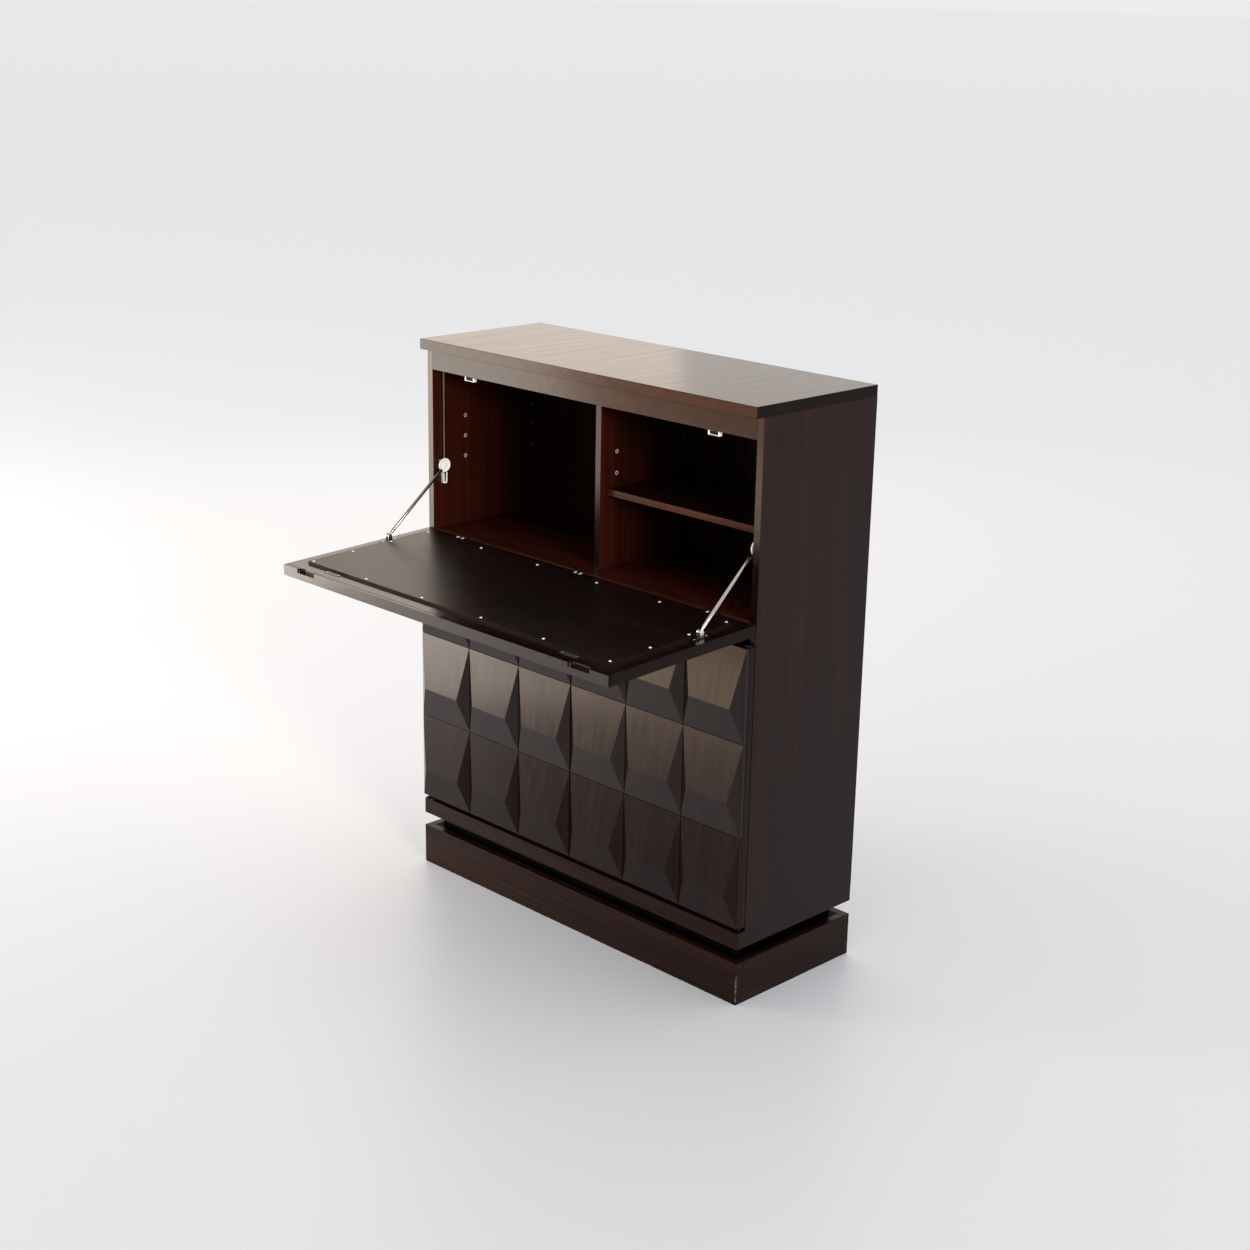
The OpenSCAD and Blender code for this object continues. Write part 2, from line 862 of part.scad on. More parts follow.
module flap_catch_magnets() {
    half = catch_magnet_half_w;
    color(magnet_grey)
        both_sides()
            box([catch_x - half, catch_front_y, catch_magnet_z],
                [catch_x + half, catch_front_y + magnet_t, catch_magnet_z + magnet_h]);
}

module door_catch_housings() {
    x = partition_t / 2;
    y = carcass_y - door_catch_out;
    magnet_x = x + (door_catch_w - door_magnet_w) / 2;
    color(white_plastic)
        both_sides()
            difference() {
                box([x, y, door_catch_z],
                    [x + door_catch_w, y + door_catch_d, door_catch_z + door_catch_h]);
                box([magnet_x - let_in, y - over, door_catch_z + door_magnet_w - let_in],
                    [magnet_x + door_magnet_w + let_in, y + magnet_t + let_in,
                     door_catch_z + door_catch_h - door_magnet_w + let_in]);
            }
}

module door_catch_magnets() {
    y = carcass_y - door_catch_out;
    magnet_x = (partition_t + door_catch_w - door_magnet_w) / 2;
    color(magnet_grey)
        both_sides()
            box([magnet_x, y + let_in, door_catch_z + door_magnet_w],
                [magnet_x + door_magnet_w, y + magnet_t, door_catch_z + door_catch_h - door_magnet_w]);
}

module door_strike() {
    x = partition_t / 2;
    box([x, door_back_y, door_catch_z],
        [x + door_catch_w, door_back_y + strike_t, door_catch_z + door_catch_h]);
}

module left_door_strike() {
    color(nickel) mirror([1, 0, 0]) door_strike();
}

module right_door_strike() {
    color(nickel) door_strike();
}

module door_panel() {
    difference() {
        box([door_half_gap, door_back_y - door_slab_t, door_z], [half_w, door_back_y, door_z + door_h]);
        for (z = [door_z, door_z + door_h])
            translate([pivot_x, pivot_y, z])
                cylinder(d = cup_d + 2 * fit, h = 2 * (cup_l + fit), center = true, $fn = round_fn);
    }
}

module left_door_panel() {
    color(wood_out) mirror([1, 0, 0]) door_panel();
}

module right_door_panel() {
    color(wood_out) door_panel();
}

// A relief block w wide and h high: a thin box that rises to a level ridge, hipped at both ends.
// Its back lies on y = 0 and its left foot at the origin.
module relief_block(w, h) {
    y_edge = -block_base_t;
    y_ridge = -block_base_t - relief_h;
    polyhedron(
        points = [[0, 0, 0], [w, 0, 0], [w, 0, h], [0, 0, h],
                  [0, y_edge, 0], [w, y_edge, 0], [w, y_edge, h], [0, y_edge, h],
                  [ridge_inset, y_ridge, ridge_up], [w - ridge_inset, y_ridge, ridge_up]],
        faces = [[0, 1, 2, 3], [4, 5, 1, 0], [3, 2, 6, 7], [3, 7, 4, 0], [1, 5, 6, 2],
                 [8, 9, 5, 4], [7, 6, 9, 8], [7, 8, 4], [9, 6, 5]]);
}

module door_blocks() {
    for (i = [0 : door_cols - 1], j = [0 : door_rows - 1])
        translate([door_half_gap + i * col_w + block_gap / 2, door_back_y - door_slab_t,
                   door_z + j * row_h + block_gap / 2])
            relief_block(col_w - block_gap, row_h - block_gap);
}

module left_door_blocks() {
    color(wood_out) mirror([1, 0, 0]) door_blocks();
}

module right_door_blocks() {
    color(wood_out) door_blocks();
}

// Sleeves in the top and bottom edges of a door
module pivot_cups() {
    bore_d = pivot_d + 2 * fit;
    for (z = [door_z, door_z + door_h - cup_l])
        translate([pivot_x, pivot_y, z]) difference() {
            cylinder(d = cup_d, h = cup_l, $fn = round_fn);
            translate([0, 0, -over]) cylinder(d = bore_d, h = cup_l + 2 * over, $fn = round_fn);
        }
}

module left_door_pivot_cups() {
    color(brass) mirror([1, 0, 0]) pivot_cups();
}

module right_door_pivot_cups() {
    color(brass) pivot_cups();
}

// Fixed plates that carry the pins: one on the base board, one bent plate on the side's front edge
module pivot_bracket_pair() {
    x_low = pivot_x - bracket_w / 2;
    x_high = pivot_x + pivot_side;
    tab_z = door_z + door_h + bracket_door_gap;
    difference() {
        union() {
            box([x_low, pivot_y - bracket_nose, lower_z], [x_high, carcass_y, lower_z + bracket_t]);
            box([x_low, pivot_y - bracket_nose, tab_z], [x_high, carcass_y, tab_z + bracket_t]);
            box([x_low, carcass_y - bracket_leg_t, tab_z], [x_high, carcass_y, tab_z + bracket_leg_h]);
        }
        translate([pivot_x, pivot_y, lower_z - over])
            cylinder(d = pivot_d + 2 * fit, h = tab_z - lower_z + bracket_t + 2 * over, $fn = round_fn);
    }
}

module door_pivot_brackets() {
    color(brass) both_sides() pivot_bracket_pair();
}

module door_pivot_pins() {
    tab_z = door_z + door_h + bracket_door_gap;
    color(brass)
        both_sides() {
            translate([pivot_x, pivot_y, lower_z])
                cylinder(d = pivot_d, h = door_low_gap + pivot_in_door, $fn = round_fn);
            translate([pivot_x, pivot_y, door_z + door_h - pivot_in_door])
                cylinder(d = pivot_d, h = pivot_in_door + bracket_door_gap + bracket_t, $fn = round_fn);
            translate([pivot_x, pivot_y, tab_z + bracket_t])
                cylinder(d = cup_d, h = pivot_head_t, $fn = round_fn);
        }
}

plinth_front();
plinth_back();
plinth_left();
plinth_right();
plinth_brace();
plinth_top_panel();
plinth_corner_blocks();
neck_long_boards();
neck_short_boards();
base_board();
left_side();
right_side();
top_board();
top_rail();
compartment_floor();
floor_edge_strip();
compartment_divider();
upper_back_panel();
lower_back_panel();
back_panel_screws();
upper_shelf();
upper_shelf_pins();
shelf_hole_bushes();
lower_partition();
lower_left_shelf();
lower_right_shelf();
lower_shelf_pins();
flap_panel();
flap_liner();
liner_screws();
flap_strike_plates();
flap_hinge_leaves();
floor_hinge_leaves();
flap_hinge_pins();
flap_stay_feet();
stay_foot_pins();
left_stay_arm();
right_stay_arm();
left_stay_slider();
right_stay_slider();
stay_rods();
stay_rod_holders();
flap_catch_housings();
flap_catch_magnets();
door_catch_housings();
door_catch_magnets();
left_door_panel();
right_door_panel();
left_door_blocks();
right_door_blocks();
left_door_strike();
right_door_strike();
left_door_pivot_cups();
right_door_pivot_cups();
door_pivot_brackets();
door_pivot_pins();
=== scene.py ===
import json
import math
import bmesh
import bpy
from mathutils import Matrix, Vector


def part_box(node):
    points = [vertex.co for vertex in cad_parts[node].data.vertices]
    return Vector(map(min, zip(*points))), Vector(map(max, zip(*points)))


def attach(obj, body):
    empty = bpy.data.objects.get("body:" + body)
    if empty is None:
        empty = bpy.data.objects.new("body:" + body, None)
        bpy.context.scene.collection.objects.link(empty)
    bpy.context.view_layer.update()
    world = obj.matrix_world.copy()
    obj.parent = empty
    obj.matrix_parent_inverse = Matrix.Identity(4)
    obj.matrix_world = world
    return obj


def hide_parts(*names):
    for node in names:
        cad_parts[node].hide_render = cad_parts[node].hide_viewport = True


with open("model.json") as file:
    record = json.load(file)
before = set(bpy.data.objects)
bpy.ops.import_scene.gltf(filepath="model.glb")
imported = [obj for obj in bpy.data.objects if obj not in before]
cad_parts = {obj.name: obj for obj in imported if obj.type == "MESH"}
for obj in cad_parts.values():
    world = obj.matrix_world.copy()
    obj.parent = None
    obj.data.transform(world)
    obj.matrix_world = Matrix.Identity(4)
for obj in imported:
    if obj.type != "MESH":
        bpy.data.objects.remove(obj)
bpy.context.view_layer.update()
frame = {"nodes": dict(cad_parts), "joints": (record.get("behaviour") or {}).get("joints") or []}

nodes = frame["nodes"]
joints = {joint["name"]: joint for joint in frame["joints"]}
mm = 0.001
facing = 0.9  # a face looks along an axis when its normal goes at least this far that way


def srgb(text):  # "#rrggbb" to a linear colour for a shader socket
    parts = [int(text[i:i + 2], 16) / 255 for i in (1, 3, 5)]
    return [p / 12.92 if p <= 0.04045 else ((p + 0.055) / 1.055) ** 2.4 for p in parts] + [1.0]


def addNode(tree, kind, settings=None, links=None):  # one node, its values, and what feeds it
    node = tree.nodes.new(kind)
    for key, value in (settings or {}).items():
        if isinstance(key, int) or key in node.inputs:
            node.inputs[key].default_value = value
        else:
            setattr(node, key, value)
    for key, source in (links or {}).items():
        tree.links.new(source, node.inputs[key])
    return node


def setRamp(node, stops):  # colour stops of a ColorRamp: [(place, colour), ...]
    ramp = node.color_ramp
    while len(ramp.elements) < len(stops):
        ramp.elements.new(1.0)
    for element, (place, colour) in zip(ramp.elements, stops):
        element.position = place
        element.color = colour


def newMaterial(name):  # (material, its node tree, its shader, object coordinates)
    material = bpy.data.materials.new(name)
    material.use_nodes = True
    tree = material.node_tree
    coordinates = addNode(tree, "ShaderNodeTexCoord").outputs["Object"]
    return material, tree, tree.nodes["Principled BSDF"], coordinates


# The camera stands where the photographer stood: front right, a little above the top board
cameraView = {
    "place": (3.39786, -3.42044, 2.24641),
    "forward": (-0.67549, 0.67493, -0.29694),
    "rollDegrees": 1.09,  # the photograph leans a little
    "lensMm": 59.42,
    "sensorMm": 36.0,
}


def makeCamera(view):
    forward = Vector(view["forward"]).normalized()
    level = forward.cross(Vector((0, 0, 1))).normalized()
    rise = level.cross(forward)
    roll = math.radians(view["rollDegrees"])
    right = level * math.cos(roll) + rise * math.sin(roll)
    up = right.cross(forward)
    turned = Matrix((right, up, -forward)).transposed().to_4x4()
    data = bpy.data.cameras.new("photoCamera")
    data.lens = view["lensMm"]
    data.sensor_width = view["sensorMm"]
    data.clip_end = 500.0
    camera = bpy.data.objects.new("photoCamera", data)
    camera.matrix_world = Matrix.Translation(view["place"]) @ turned
    bpy.context.scene.collection.objects.link(camera)
    bpy.context.scene.camera = camera


makeCamera(cameraView)
print("camera set")

# Mahogany veneer stained nearly black and sprayed with lacquer: black-brown, red streaks, wet-looking gloss
darkStain = {
    "dark": "#130606", "mid": "#1b0a09", "warm": "#2a100d",
    "streakMm": 9.0, "streakLongMm": 420.0,  # width and length of a colour streak
    "figureMm": 70.0, "figureLongMm": 900.0,  # broad bands of the veneer's figure
    "poreMm": 2.6, "poreLongMm": 60.0,  # real pores are 0.3 mm wide: drawn coarser so that they show
    "roughLow": 0.13, "roughHigh": 0.2, "bumpMm": 0.03, "specular": 0.2,
    "poreDark": 0.55,  # how far a pore darkens the stain
    # fade paints shade: the colour darkens from the front y to the behind y
    "fade": None,  # (y in front, y behind, what is left of the colour there)
    "sheen": "#ffffff",  # colour of the gloss: yellower where the lacquer is old and thick
}
# Doors: the same stain under the thickest lacquer
doorStain = dict(darkStain, dark="#140606", mid="#1a0a09", warm="#260e0b", streakMm=12.0,
                 streakLongMm=700.0, roughLow=0.12, roughHigh=0.19, specular=0.28)
# The lowest row of the doors: the same lacquer with its gloss turned down, painted shade for the shaded
# floor that these blocks reflect
lowDoorShadedGloss = dict(doorStain, specular=0.14)
# The boards behind the doors' blocks: edges that take little light
panelStain = dict(doorStain, specular=0.12)
# Side panels: broader figure and a thinner coat
sideStain = dict(darkStain, dark="#180908", mid="#1d0b0a", warm="#240e0c", streakMm=16.0, specular=0.15)
# Plinth: browner and duller, it was kicked and wiped
plinthStain = dict(darkStain, dark="#190a07", mid="#22100b", warm="#2e1710", roughLow=0.2, roughHigh=0.3,
                   specular=0.1)
# Open flap: lies flat under the light, with the full coat
flapStain = dict(darkStain, dark="#120706", mid="#170a08", warm="#21100c", specular=0.36)
# Front lip of the flap: it turns down to the bright floor, and its gloss is raised far above the flap's as a
# painted highlight
lipPaintedGloss = dict(flapStain, specular=0.62)
# Ends of the boards: veneer with a dark, thin coat
endStain = dict(darkStain, dark="#0b0403", mid="#0f0504", warm="#140706", specular=0.1)
# Liner board of the flap: dark hardboard with a satin coat, so the light fades off slowly
linerStain = dict(darkStain, dark="#0e0705", mid="#130a08", warm="#1b0e0a", streakMm=14.0,
                  streakLongMm=120.0, roughLow=0.32, roughHigh=0.35, bumpMm=0.01, poreDark=0.25,
                  specular=0.26, sheen="#ffeed8")
# The same wood with less stain inside the cabinet: red-brown mahogany with a low satin sheen, its colour
# painted darker towards the back as painted shade
warmStain = dict(darkStain, dark="#280c07", mid="#32120a", warm="#3d170d", poreDark=0.25,
                 fade=(-0.16, 0.06, 0.3), streakMm=6.0, figureMm=110.0, roughLow=0.2, roughHigh=0.3)
# Back and shelves: as inside, one shade deeper
deepStain = dict(warmStain, fade=None, dark="#120504", mid="#180705", warm="#1f0a06")
# Solid lipping that took the stain less
lippingStain = dict(warmStain, fade=None, dark="#2d150c", mid="#412013", warm="#532c1b",
                    roughLow=0.35, roughHigh=0.45, specular=0.07)
# Front edge of the top board: solid wood that glows orange-brown
topEdgeStain = dict(darkStain, dark="#1d0c06", mid="#2b130a", warm="#38190c", specular=0.19)
# Neck under the base board and the plinth's top: nearly black and dull, painted shade for the deep recess
# under the base board
neckShadeTone = dict(darkStain, dark="#020101", mid="#030202", warm="#050303", roughLow=0.45, roughHigh=0.6,
                 specular=0.03)
# Divider's front edge: the same gloss as outside; low down it is painted darker and duller, painted shade
# for the dark open flap that it reflects there
dividerEdge = dict(darkStain, roughLow=0.2, roughHigh=0.3)
dividerEdgeShaded = dict(dividerEdge, dark="#0a0403", mid="#0e0504", warm="#120706", specular=0.06)
# Shadow line between the flap's veneer and its lipping
jointShade = dict(darkStain, dark="#040202", mid="#060303", warm="#080404", specular=0.0)
# How streaks, figure and pores are drawn from noise; the stops are places in the noise's range
grainLook = {
    "turns": {"x": (0.0, math.radians(90), 0.0), "y": (math.radians(90), 0.0, 0.0), "z": (0.0, 0.0, 0.0)},
    "details": {"streak": 2.0, "figure": 1.5, "pore": 2.0}, "noiseRough": 0.5, "waviness": 0.1,
    "streakShare": 0.55, "figureShare": 0.45, "stops": (0.36, 0.5, 0.66), "poreFrom": 0.56, "poreTo": 0.72,
    "poreTint": (0.25, 0.2, 0.2, 1.0), "glossFrom": 0.3, "glossTo": 0.7, "bumpStrength": 0.15,
}


def woodColour(tree, coordinates, wood, grain):  # (colour, streaks, pores) of one stain
    look = grainLook
    turned = addNode(tree, "ShaderNodeMapping", {"Rotation": look["turns"][grain]}, {"Vector": coordinates})
    noises = {}
    for name, detail in look["details"].items():
        across = 1 / (wood[name + "Mm"] * mm)
        along = 1 / (wood[name + "LongMm"] * mm)
        stretched = addNode(tree, "ShaderNodeMapping", {"Scale": (across, across, along)},
                            {"Vector": turned.outputs[0]})
        noises[name] = addNode(tree, "ShaderNodeTexNoise",
                               {"Scale": 1.0, "Detail": detail, "Roughness": look["noiseRough"],
                                "Distortion": look["waviness"]},
                               {"Vector": stretched.outputs[0]})
    figure = addNode(tree, "ShaderNodeMath", {"operation": "MULTIPLY", 1: look["figureShare"]},
                     {0: noises["figure"].outputs[0]})
    mixed = addNode(tree, "ShaderNodeMath", {"operation": "MULTIPLY_ADD", 1: look["streakShare"]},
                    {0: noises["streak"].outputs[0], 2: figure.outputs[0]})
    ramp = addNode(tree, "ShaderNodeValToRGB", {}, {0: mixed.outputs[0]})
    setRamp(ramp, list(zip(look["stops"], (srgb(wood[tone]) for tone in ("dark", "mid", "warm")))))
    pore = addNode(tree, "ShaderNodeMapRange", {"From Min": look["poreFrom"], "From Max": look["poreTo"]},
                   {"Value": noises["pore"].outputs[0]})
    poreShare = addNode(tree, "ShaderNodeMath", {"operation": "MULTIPLY", 1: wood["poreDark"]},
                        {0: pore.outputs[0]})
    darkened = addNode(tree, "ShaderNodeMix",
                       {"data_type": "RGBA", "blend_type": "MULTIPLY", 7: look["poreTint"]},
                       {0: poreShare.outputs[0], 6: ramp.outputs[0]})
    colour = darkened.outputs[2]
    # painted shade: the colour is darkened from the front to the back, where less light reaches
    if wood["fade"]:
        front, behind, left = wood["fade"]
        split = addNode(tree, "ShaderNodeSeparateXYZ", {}, {0: coordinates})
        share = addNode(tree, "ShaderNodeMapRange",
                        {"From Min": front, "From Max": behind, "To Min": 1.0, "To Max": left},
                        {"Value": split.outputs[1]})
        colour = addNode(tree, "ShaderNodeMix", {"data_type": "RGBA", "blend_type": "MULTIPLY", 0: 1.0},
                         {6: colour, 7: share.outputs[0]}).outputs[2]
    return colour, noises["streak"].outputs[0], pore.outputs[0]


crispMetres = 2e-5  # how fast one stain gives way to the next at a crisp edge


def layerMask(tree, coordinates, axis, low, high, fadeMetres=crispMetres):  # 1 between two planes, else 0
    split = addNode(tree, "ShaderNodeSeparateXYZ", {}, {0: coordinates})
    off = addNode(tree, "ShaderNodeMath", {"operation": "SUBTRACT", 1: (low + high) / 2},
                  {0: split.outputs[axis]})
    size = addNode(tree, "ShaderNodeMath", {"operation": "ABSOLUTE"}, {0: off.outputs[0]})
    half = (high - low) / 2
    return addNode(tree, "ShaderNodeMapRange",
                   {"From Min": half - fadeMetres / 2, "From Max": half + fadeMetres / 2,
                    "To Min": 1.0, "To Max": 0.0},
                   {"Value": size.outputs[0]}).outputs[0]


def lacqueredWood(name, wood, grain, zones=(), wear=None):  # zones: (axis, low, high, stain, grain[, fade])
    material, tree, shader, coordinates = newMaterial(name)
    colour, streak, pore = woodColour(tree, coordinates, wood, grain)
    gloss = addNode(tree, "ShaderNodeValue")
    gloss.outputs[0].default_value = wood["specular"]
    for axis, low, high, otherWood, otherGrain, *fade in zones:
        mask = layerMask(tree, coordinates, axis, low, high, *fade)
        other = woodColour(tree, coordinates, otherWood, otherGrain)[0]
        both = addNode(tree, "ShaderNodeMix", {"data_type": "RGBA"}, {0: mask, 6: colour, 7: other})
        colour = both.outputs[2]
        gloss = addNode(tree, "ShaderNodeMix", {3: otherWood["specular"]}, {0: mask, 2: gloss.outputs[0]})
    if wear:
        colour = wornCorners(tree, coordinates, colour, wear)
    tree.links.new(colour, shader.inputs["Base Color"])
    rough = addNode(tree, "ShaderNodeMapRange",
                    {"From Min": grainLook["glossFrom"], "From Max": grainLook["glossTo"],
                     "To Min": wood["roughLow"], "To Max": wood["roughHigh"]},
                    {"Value": streak})
    tree.links.new(rough.outputs[0], shader.inputs["Roughness"])
    bump = addNode(tree, "ShaderNodeBump",
                   {"Strength": grainLook["bumpStrength"], "Distance": wood["bumpMm"] * mm, "invert": True},
                   {"Height": pore})
    tree.links.new(bump.outputs[0], shader.inputs["Normal"])
    tree.links.new(gloss.outputs[0], shader.inputs["Specular IOR Level"])
    shader.inputs["Specular Tint"].default_value = srgb(wood["sheen"])
    return material


def lowOf(name, axis):  # lowest x, y or z of a CAD node
    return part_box(name)[0][axis]


def highOf(name, axis):
    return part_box(name)[1][axis]


plinthWear = {  # bare, pale specks where the plinth was kicked and dragged
    "rawWood": "#8a7463", "speckMm": 5.0, "deepMm": 2.2, "cornerHigh": 0.075, "cornerShare": 0.5,
    "footShare": 0.57,
}


def wornCorners(tree, coordinates, colour, wear):
    noise = addNode(tree, "ShaderNodeTexNoise", {"Scale": 1 / (wear["speckMm"] * mm), "Detail": 5.0},
                    {"Vector": coordinates})
    cornerX = highOf("plinth_front", 0) - wear["deepMm"] * mm
    cornerY = highOf("plinth_back", 1) - wear["deepMm"] * mm
    insideX = layerMask(tree, coordinates, 0, -cornerX, cornerX)
    insideY = layerMask(tree, coordinates, 1, -cornerY, cornerY)
    either = addNode(tree, "ShaderNodeMath", {"operation": "MAXIMUM"}, {0: insideX, 1: insideY})
    corner = addNode(tree, "ShaderNodeMath", {"operation": "SUBTRACT", 0: 1.0}, {1: either.outputs[0]})
    low = layerMask(tree, coordinates, 2, -beyond, wear["cornerHigh"])
    cornerLow = addNode(tree, "ShaderNodeMath", {"operation": "MULTIPLY"}, {0: corner.outputs[0], 1: low})
    foot = layerMask(tree, coordinates, 2, -beyond, wear["deepMm"] * mm)
    for mask, share in ((cornerLow.outputs[0], wear["cornerShare"]), (foot, wear["footShare"])):
        speck = addNode(tree, "ShaderNodeMath", {"operation": "GREATER_THAN", 1: share},
                        {0: noise.outputs[0]})
        part = addNode(tree, "ShaderNodeMath", {"operation": "MULTIPLY"}, {0: speck.outputs[0], 1: mask})
        bare = addNode(tree, "ShaderNodeMix", {"data_type": "RGBA", 7: srgb(wear["rawWood"])},
                       {0: part.outputs[0], 6: colour})
        colour = bare.outputs[2]
    return colour


beyond = 2.0  # farther out than any face of the cabinet
hair = 0.00005  # a zone that paints a broad face ends this far past it
skin = 0.0005  # a zone that paints an edge goes this deep
rowsOfBlocks = 3
sideInner = lowOf("right_side", 0) + hair
dividerFace = highOf("compartment_divider", 0) - hair
rodFoot = 1.0585  # the upright rods stand in their forks up to this height; below it they are painted black, painted shade inside the forks' slots
dividerFront = lowOf("compartment_divider", 1) + skin
shelfFront = lowOf("upper_shelf", 1) + skin
flapFront = lowOf("flap_panel", 1)
flapJoint = (flapFront + 0.0071, flapFront + 0.009)  # the line between veneer and lipping on the open flap
flapLip = flapFront + 0.0012  # the droop tilts the open flap's front face by this much
boardEnd = highOf("top_board", 0) - skin
topEdge = lowOf("top_board", 1) + skin
frontEdge = lowOf("left_side", 1) + skin
openingLow = 0.9  # above this the left side's front edge has the full gloss
stayHeight = highOf("left_stay_slider", 2)  # the right front edge and the divider's are painted darker and duller below this: painted shade
sideFade, dividerFade = 0.03, 0.12  # metres over which the painted shade on those two edges gives way to the full gloss
blocksLow, blocksHigh = lowOf("left_door_blocks", 2), highOf("left_door_blocks", 2)
lowRowTop = blocksLow + (blocksHigh - blocksLow) / rowsOfBlocks
# the lowest row of blocks takes the duller copy: painted shade
uprightVeneer = lacqueredWood("lacqueredDarkMahoganyDoors", doorStain, "z",
                              [(2, 0.0, lowRowTop, lowDoorShadedGloss, "z")])
panelVeneer = lacqueredWood("lacqueredDarkMahoganyPanels", panelStain, "z")
levelVeneer = lacqueredWood("lacqueredDarkMahoganyLevel", endStain, "y",
                            [(0, -boardEnd, boardEnd, darkStain, "x")])
topVeneer = lacqueredWood("lacqueredDarkMahoganyTop", endStain, "y",
                          [(0, -boardEnd, boardEnd, darkStain, "x"),
                           (1, -beyond, topEdge, topEdgeStain, "x")])
baseVeneer = lacqueredWood("lacqueredDarkMahoganyBase", sideStain, "y",
                           [(0, -boardEnd, boardEnd, plinthStain, "x")])
plinthVeneer = lacqueredWood("lacqueredDarkMahoganyPlinth", plinthStain, "x", wear=plinthWear)
plinthEndVeneer = lacqueredWood("lacqueredDarkMahoganyPlinthEnds", plinthStain, "y", wear=plinthWear)
depthVeneer = lacqueredWood("lacqueredDarkMahoganyDeep", darkStain, "y")
# painted shade: the recess under the base board is drawn nearly black
neckShadeMaterial = lacqueredWood("dullBlackStainedNeck", neckShadeTone, "x")
# the flap's front face takes the lip's raised gloss: painted highlight
flapVeneer = lacqueredWood("lacqueredDarkMahoganyFlap", endStain, "y",
                           [(0, -boardEnd, boardEnd, flapStain, "x"), (1, *flapJoint, jointShade, "x"),
                            (1, -beyond, flapLip, lipPaintedGloss, "x")])
sideZones = [(1, frontEdge, beyond, sideStain, "z"), (0, -sideInner, sideInner, warmStain, "z")]
leftVeneer = lacqueredWood("lacqueredDarkMahoganyLeftSide", endStain, "z",
                           [(2, openingLow, beyond, doorStain, "z"), *sideZones])
# below stayHeight the right side's front edge keeps the dark end stain: painted shade
rightVeneer = lacqueredWood("lacqueredDarkMahoganyRightSide", endStain, "z",
                            [(2, stayHeight, beyond, doorStain, "z", sideFade), *sideZones])
linerBoard = lacqueredWood("satinDarkHardboardLiner", linerStain, "x")
# below stayHeight the divider's front edge is painted darker: painted shade
dividerVeneer = lacqueredWood("satinRedMahoganyDivider", dividerEdge, "z",
                              [(2, 0.0, stayHeight, dividerEdgeShaded, "z", dividerFade),
                               (1, dividerFront, beyond, warmStain, "z")])
backVeneer = lacqueredWood("satinDeepMahoganyBack", deepStain, "z")
floorVeneer = lacqueredWood("satinRedMahoganyFloor", warmStain, "x")
shelfVeneer = lacqueredWood("satinDeepMahoganyShelf", deepStain, "x",
                            [(1, -beyond, shelfFront, lippingStain, "x")])
lipping = lacqueredWood("stainedMahoganyLipping", lippingStain, "x")


wornTintShare = 0.8  # how bright a metal stays where it is worn
# the black of painted shade in holes and slots
shadeBlack = "#050303"


def metal(name, colour, roughness, grainMm, spread):  # plated or bare metal with faint wear in its gloss
    material, tree, shader, coordinates = newMaterial(name)
    noise = addNode(tree, "ShaderNodeTexNoise", {"Scale": 1 / (grainMm * mm), "Detail": 4.0},
                    {"Vector": coordinates})
    rough = addNode(tree, "ShaderNodeMapRange",
                    {"To Min": roughness - spread, "To Max": roughness + spread},
                    {"Value": noise.outputs[0]})
    bright = srgb(colour)
    worn = [part * wornTintShare for part in bright[:3]] + [1.0]
    tint = addNode(tree, "ShaderNodeMix", {"data_type": "RGBA", 6: bright, 7: worn}, {0: noise.outputs[0]})
    tree.links.new(tint.outputs[2], shader.inputs["Base Color"])
    tree.links.new(rough.outputs[0], shader.inputs["Roughness"])
    shader.inputs["Metallic"].default_value = 1.0
    return material


def blacken(material, wanted):  # turns the surface black wherever the given mask is 0: painted shade
    tree = material.node_tree
    shader = tree.nodes["Principled BSDF"]
    coordinates = addNode(tree, "ShaderNodeTexCoord").outputs["Object"]
    colour = shader.inputs["Base Color"].links[0].from_socket
    both = addNode(tree, "ShaderNodeMix", {"data_type": "RGBA", 6: srgb(shadeBlack)},
                   {0: wanted(tree, coordinates), 7: colour})
    tree.links.new(both.outputs[2], shader.inputs["Base Color"])


bushBackShade = {"fromY": -0.1, "toY": 0.05, "share": 0.12}  # the bushes are painted darker towards the back: painted shade


def bushRims(tree, coordinates):  # 1 on the rims that stand out of the boards, 0 down in the holes, which are painted black as painted shade
    within = layerMask(tree, coordinates, 0, -sideInner, sideInner)
    divider = layerMask(tree, coordinates, 0, -dividerFace, dividerFace)
    rims = addNode(tree, "ShaderNodeMath", {"operation": "SUBTRACT"}, {0: within, 1: divider})
    split = addNode(tree, "ShaderNodeSeparateXYZ", {}, {0: coordinates})
    # painted shade: the rims darken towards the back
    backShade = addNode(tree, "ShaderNodeMapRange",
                      {"From Min": bushBackShade["fromY"], "From Max": bushBackShade["toY"],
                       "To Min": 1.0, "To Max": bushBackShade["share"]},
                      {"Value": split.outputs[1]})
    return addNode(tree, "ShaderNodeMath", {"operation": "MULTIPLY"},
                   {0: rims.outputs[0], 1: backShade.outputs[0]}).outputs[0]


brightNickel = metal("brightNickelPlate", "#f2f0ec", 0.24, 6.0, 0.06)  # fittings: white, smooth plate
chromedSteel = metal("chromedSteelRod", "#cdc4ba", 0.1, 5.0, 0.04)  # right stay arm: mirror-like
shadedChrome = metal("wornChromedSteelRod", "#94897c", 0.16, 5.0, 0.05)  # the left arm: the same chrome drawn darker, painted shade for the dark cabinet inside that it reflects
dullSteel = metal("zincPlatedSteel", "#746e66", 0.38, 4.0, 0.08)  # strike plates: grey, a little worn
darkRod = metal("drawnSteelRod", "#6b5e52", 0.3, 4.0, 0.06)  # upright rods: dark, faintly streaked
